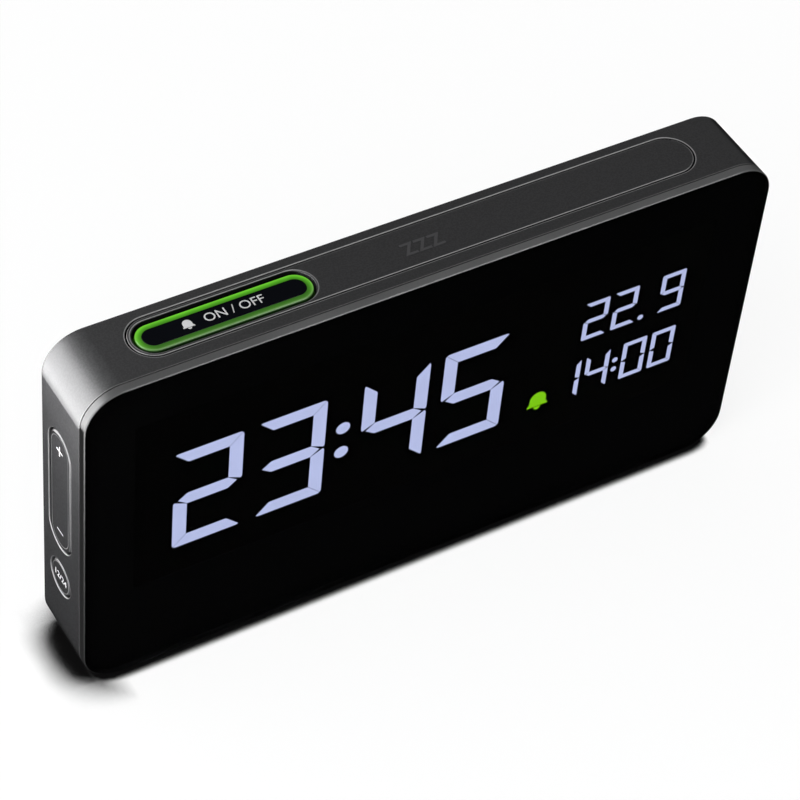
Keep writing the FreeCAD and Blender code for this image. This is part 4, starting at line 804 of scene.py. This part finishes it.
def border_outlines(low, high, radius, window_low, window_high):
    """Left and right halves of a round-cornered border round a window, in the plane of the front."""
    middle = (low.x + high.x) / 2
    halves = []
    for side, window_side, turn in ((low.x, window_low.x, 1), (high.x, window_high.x, -1)):
        across = side + turn * radius
        head = arc((across, high.z - radius), radius, 90, 90 + turn * 90)
        foot = arc((across, low.z + radius), radius, 90 + turn * 90, 90 + turn * 180)
        halves.append([(middle, high.z), *head, *foot, (middle, low.z), (middle, window_low.z),
                       (window_side, window_low.z), (window_side, window_high.z), (middle, window_high.z)])
    return halves


class CLOCK_OT_border(bpy.types.Operator):
    """Print the black border on the back of the lens, round the display"""
    bl_idname = "clock.border"
    bl_label = "Lens border"

    def execute(self, context):
        low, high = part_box("front_lens")
        window_low, window_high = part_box("display_glass")
        inset, edge = Vector((1, 0, 1)) * 0.5 * MM, Vector((1, 0, 1)) * 0.15 * MM
        outlines = border_outlines(low + edge, high - edge, LENS_CORNER - edge.x, window_low + inset,
                                   window_high - inset)
        ink_and_painted_shadow = moulded("Black border print", (0.0006, 0.0006, 0.0006), 0.7, 0.0005, 0.000005, gloss=0)
        border = slab("lens_border", outlines, PLATE, face_matrix("front", (0, high.y + PLATE / 2, 0)))
        piece = new_piece("lens_border", border, ink_and_painted_shadow, "clock_body")
        return {"FINISHED"}


class CLOCK_OT_marks(bpy.types.Operator):
    """Print the generic signs on the keys"""
    bl_idname = "clock.marks"
    bl_label = "Key signs"

    def execute(self, context):
        look = settings("clock_finish")
        ink_and_painted_shadow = moulded("Silver print", look.mark, 0.4, 0.0006, 0.000002)
        white = moulded("White print", (0.5, 0.5, 0.51), 0.5, 0.0006, 0.000002)
        low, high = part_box("rocker_button")
        key_line, middle = (low.y + high.y) / 2, (low.z + high.z) / 2
        reach, half, rise = 1.7 * MM, 0.15 * MM, 15 * MM
        bar = [(-reach, -half), (reach, -half), (reach, half), (-reach, half)]
        signs = (("plus_sign", cross_outline(reach, half), rise), ("minus_sign", bar, -rise))
        for name, outline, height in signs:
            mesh = slab(name, [outline], PRINT, face_matrix("left", (low.x, key_line, middle + height)))
            piece = new_piece(name, mesh, ink_and_painted_shadow, "rocker")
        low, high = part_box("format_button")
        spot = (low.x, key_line, (low.z + high.z) / 2)
        mesh = lettering("hour_format_sign", "12/24", 3.1 * MM, PRINT, face_matrix("left", spot))
        new_piece("hour_format_sign", mesh, ink_and_painted_shadow, "format_key")
        low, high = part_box("alarm_button")
        middle = (low + high) / 2
        spot = (middle.x + 2.6 * MM, middle.y, high.z)
        mesh = lettering("on_off_sign", "ON / OFF", 4.0 * MM, PRINT, face_matrix("top", spot))
        new_piece("on_off_sign", mesh, white, "alarm_key")
        spot = (middle.x - 10.2 * MM, middle.y - 1.75 * MM, high.z)
        mesh = slab("alarm_sign", bell_outlines(3.5 * MM), PRINT, face_matrix("top", spot))
        new_piece("alarm_sign", mesh, white, "alarm_key")
        low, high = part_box("snooze_bar")
        # The raised sign is painted paler than the case: a painted highlight for the light its edges catch
        sign_with_painted_highlight = moulded("Raised sign with painted highlight", [channel * 2.2 for channel in look.case], 0.4, look.grain, 0.02 * MM,
                         gloss=look.gloss)
        fade_gloss(sign_with_painted_highlight, CASE_SLANT, LEAST_GLOSS)
        spot = ((low.x + high.x) / 2, key_line, high.z)
        mesh = lettering("sleep_sign", "zzz", 9.5 * MM, 0.12 * MM, face_matrix("top", spot))
        piece = new_piece("sleep_sign", mesh, sign_with_painted_highlight, "snooze_bar")
        return {"FINISHED"}


def lathe(profile, steps=32):
    """Closed solid turned about Z from points (radius, height), first and last on the axis."""
    work = bmesh.new()
    rings = []
    for radius, height in profile:
        if radius < 1e-9:
            rings.append([work.verts.new((0, 0, height))])
            continue
        turns = [2 * math.pi * step / steps for step in range(steps)]
        circle = [(radius * math.cos(turn), radius * math.sin(turn), height) for turn in turns]
        rings.append([work.verts.new(point) for point in circle])
    for one, other in zip(rings, rings[1:]):
        for step in range(steps):
            follow = (step + 1) % steps
            corners = [one[step % len(one)], one[follow % len(one)],
                       other[follow % len(other)], other[step % len(other)]]
            unique = list(dict.fromkeys(corners))
            work.faces.new(unique)
    bmesh.ops.recalc_face_normals(work, faces=work.faces)
    return work


def screw_mesh(head, shank, reach, depth):
    """Countersunk screw along -Z from its face, with a cross recess."""
    taper = (head - shank) / 2
    work = lathe([(0, 0), (head / 2, 0), (shank / 2, -taper), (shank / 2, -reach + 1 * MM),
                  (shank / 4, -reach), (0, -reach)])
    mesh = bpy.data.meshes.new("screw")
    work.to_mesh(mesh)
    work.free()
    arm, half = head * 0.3, head * 0.07
    cutter = bpy.data.objects.new("cutter", slab("cutter", [cross_outline(arm, half)], depth + 0.1 * MM,
                                                 Matrix.Translation((0, 0, -depth))))
    holder = bpy.data.objects.new("screw", mesh)
    for item in (cutter, holder):
        bpy.context.scene.collection.objects.link(item)
    boolean = holder.modifiers.new("Recess", "BOOLEAN")
    boolean.object = cutter
    boolean.solver = "EXACT"
    screw = plain_mesh(holder, "screw")
    bpy.data.objects.remove(cutter)
    return screw


class CLOCK_OT_screws(bpy.types.Operator):
    """Make the four cross-headed screws of the rear cover"""
    bl_idname = "clock.screws"
    bl_label = "Cover screws"

    def execute(self, context):
        low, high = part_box("cover_screws")
        head, shank = 5.2 * MM, 2.8 * MM
        steel = moulded("Blackened steel", (0.03, 0.03, 0.031), 0.4, 0.0004, 0.000004, gloss=0.12)
        shape = screw_mesh(head, shank, high.y - low.y, 0.9 * MM)
        inset = head / 2
        places = [(across, up) for across in (low.x + inset, high.x - inset)
                  for up in (low.z + inset, high.z - inset)]
        points = [((across, high.y - 0.02 * MM, up), "screw", (-math.pi / 2, 0.4 * turn, 0))
                  for turn, (across, up) in enumerate(places)]
        mesh = copies("cross_screws", {"screw": shape}, points, steel)
        piece = new_piece("cross_screws", mesh, None, "clock_body")
        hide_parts("cover_screws")
        return {"FINISHED"}


def add_lamp(name, place, aim, size, power, mirrored=False, reach=None):
    """Soft lamp at a place, turned to an aim; a mirrored one only shows in gloss, as a card does.

    A reach is the distances in metres between which its light falls away to nought.
    """
    light = bpy.data.lights.new(name, "AREA")
    light.shape = "RECTANGLE"
    light.size, light.size_y = size
    light.energy = power
    lamp = bpy.data.objects.new(name, light)
    lamp.location = place
    lamp.rotation_euler = (Vector(aim) - Vector(place)).to_track_quat("-Z", "Y").to_euler()
    lamp.visible_camera = False
    lamp.visible_diffuse = not mirrored
    if reach:
        light.use_nodes = True
        tree = light.node_tree
        ray = tree.nodes.new("ShaderNodeLightPath")
        share = span(tree, ray.outputs["Ray Length"], *reach, 1, 0)
        tree.links.new(share, tree.nodes["Emission"].inputs["Strength"])
    bpy.context.scene.collection.objects.link(lamp)


def painted_shadow_share(tree, reach, dark, clear):
    """Mask of painted shadow: one on the open floor, nought in a nook, between two shares of the open sky
    within a reach.
    """
    nook = tree.nodes.new("ShaderNodeAmbientOcclusion")
    nook.inputs["Distance"].default_value = reach
    return span(tree, nook.outputs["AO"], dark, clear)


def seen_directly(tree):
    """One for camera, glossy and transmission rays, nought for others."""
    path = tree.nodes.new("ShaderNodeLightPath")
    total = path.outputs["Is Camera Ray"]
    for kind in ("Is Glossy Ray", "Is Transmission Ray"):
        total = calculate(tree, "MAXIMUM", total, path.outputs[kind])
    return total


class CLOCK_OT_studio(bpy.types.Operator):
    """Set up the floor, the lamps, the world and the camera"""
    bl_idname = "clock.studio"
    bl_label = "Studio"

    def execute(self, context):
        look = settings("clock_stage")
        scene = context.scene
        self.make_floor(look)
        self.make_world(scene, look)
        add_lamp("Corner card", (-0.194, 0.116, 0.196), (0.957, -0.032, 0.454), (0.533, 0.432), 42.5,
                 mirrored=True, reach=(0.17, 0.26))
        add_lamp("Edge card", (0.5, -0.94, 0.85), (0, 0, 0.1), (0.5, 0.5), 40, mirrored=True)
        add_lamp("Upper lamp", (-0.75, -0.5, 1.1), (0, 0, 0.05), (1.0, 0.8), 11)
        camera = bpy.data.objects.new("Camera", bpy.data.cameras.new("Camera"))
        across, down = Vector(look.across).normalized(), Vector(look.down).normalized()
        ahead = across.cross(down)
        camera.matrix_world = (Matrix.Translation(Vector(look.camera))
                               @ Matrix((across, -down, -ahead)).transposed().to_4x4())
        camera.data.lens = look.focal
        camera.data.sensor_width = 36
        scene.collection.objects.link(camera)
        scene.camera = camera
        scene.view_settings.view_transform = "Standard"
        return {"FINISHED"}

    def make_floor(self, look):
        work = bmesh.new()
        bmesh.ops.create_circle(work, cap_ends=True, segments=64, radius=4)
        mesh = bpy.data.meshes.new("Floor")
        work.to_mesh(mesh)
        work.free()
        finish, tree, shader = blank_finish("Pale floor")
        ink_and_painted_shadow, full_white = (0.02, 0.02, 0.02), 1.09
        shader.inputs["Roughness"].default_value = 0.9
        shader.inputs["Specular IOR Level"].default_value = 0
        pale, mix = tree.nodes.new("ShaderNodeEmission"), tree.nodes.new("ShaderNodeMixShader")
        # Painted contact shadow on the floor from ambient occlusion: a narrow dark line along the foot, and
        # a wider soft one only near the left corner
        beside = span(tree, object_place(tree)["X"], cad_low.x + 3 * MM, cad_low.x + 12 * MM)
        corner = calculate(tree, "MAXIMUM", painted_shadow_share(tree, look.corner, 0.62, 0.93), beside)
        clear_of_painted_shadow = calculate(tree, "MINIMUM", painted_shadow_share(tree, look.contact, 0.72, 0.91), corner)
        # The painted shadow darkens the floor's colour and its pale glow alike
        tree.links.new(mixed(tree, clear_of_painted_shadow, ink_and_painted_shadow, look.floor), shader.inputs["Base Color"])
        tree.links.new(calculate(tree, "MULTIPLY", clear_of_painted_shadow, full_white), pale.inputs["Strength"])
        tree.links.new(calculate(tree, "MULTIPLY", seen_directly(tree), look.paleness), mix.inputs["Fac"])
        tree.links.new(shader.outputs["BSDF"], mix.inputs[1])
        tree.links.new(pale.outputs["Emission"], mix.inputs[2])
        tree.links.new(mix.outputs["Shader"], tree.nodes["Material Output"].inputs["Surface"])
        floor = bpy.data.objects.new("Floor", mesh)
        mesh.materials.append(finish)
        bpy.context.scene.collection.objects.link(floor)

    def make_world(self, scene, look):
        """White backdrop; its light is soft, paler towards the floor and the left, darker overhead."""
        world = bpy.data.worlds.new("Studio")
        scene.world = world
        world.use_nodes = True
        tree = world.node_tree
        place, lean = tree.nodes.new("ShaderNodeTexCoord"), tree.nodes.new("ShaderNodeVectorMath")
        lean.operation = "DOT_PRODUCT"
        lean.inputs[1].default_value = (-0.85, -0.2, -0.48)
        tree.links.new(place.outputs["Generated"], lean.inputs[0])
        shade = span(tree, lean.outputs["Value"], -1, 0.3, look.sky, 1)
        strength = calculate(tree, "MAXIMUM", shade, seen_directly(tree))
        tree.links.new(strength, tree.nodes["Background"].inputs["Strength"])
        tree.nodes["Background"].inputs["Color"].default_value = (1, 1, 1, 1)


class CLOCK_PT_panel(bpy.types.Panel):
    """Sizes, colours and pieces of the clock"""
    bl_label = "Digital alarm clock"
    bl_idname = "CLOCK_PT_panel"
    bl_space_type = "VIEW_3D"
    bl_region_type = "UI"
    bl_category = "Clock"

    def draw(self, context):
        for kind, operators in STEPS.items():
            box = self.layout.box()
            group = getattr(context.scene, kind)
            for name in group.__annotations__:
                box.prop(group, name)
            for operator in operators:
                box.operator(operator.bl_idname)


STEPS = {
    "clock_finish": (CLOCK_OT_case, CLOCK_OT_inner, CLOCK_OT_screws, CLOCK_OT_marks),
    "clock_display": (CLOCK_OT_display, CLOCK_OT_border),
    "clock_stage": (CLOCK_OT_studio,),
}
GROUPS = {"clock_finish": ClockFinish, "clock_display": ClockDisplay, "clock_stage": ClockStage}
OPERATORS = [operator for operators in STEPS.values() for operator in operators]


def register():
    for item in (*GROUPS.values(), *OPERATORS, CLOCK_PT_panel):
        bpy.utils.register_class(item)
    for name, group in GROUPS.items():
        setattr(bpy.types.Scene, name, bpy.props.PointerProperty(type=group))


def unregister():
    for name in GROUPS:
        delattr(bpy.types.Scene, name)
    for item in (CLOCK_PT_panel, *reversed(OPERATORS), *reversed(GROUPS.values())):
        bpy.utils.unregister_class(item)


def main():
    register()
    for operator in OPERATORS:
        package, name = operator.bl_idname.split(".")
        getattr(getattr(bpy.ops, package), name)()


if __name__ == "__main__":
    main()
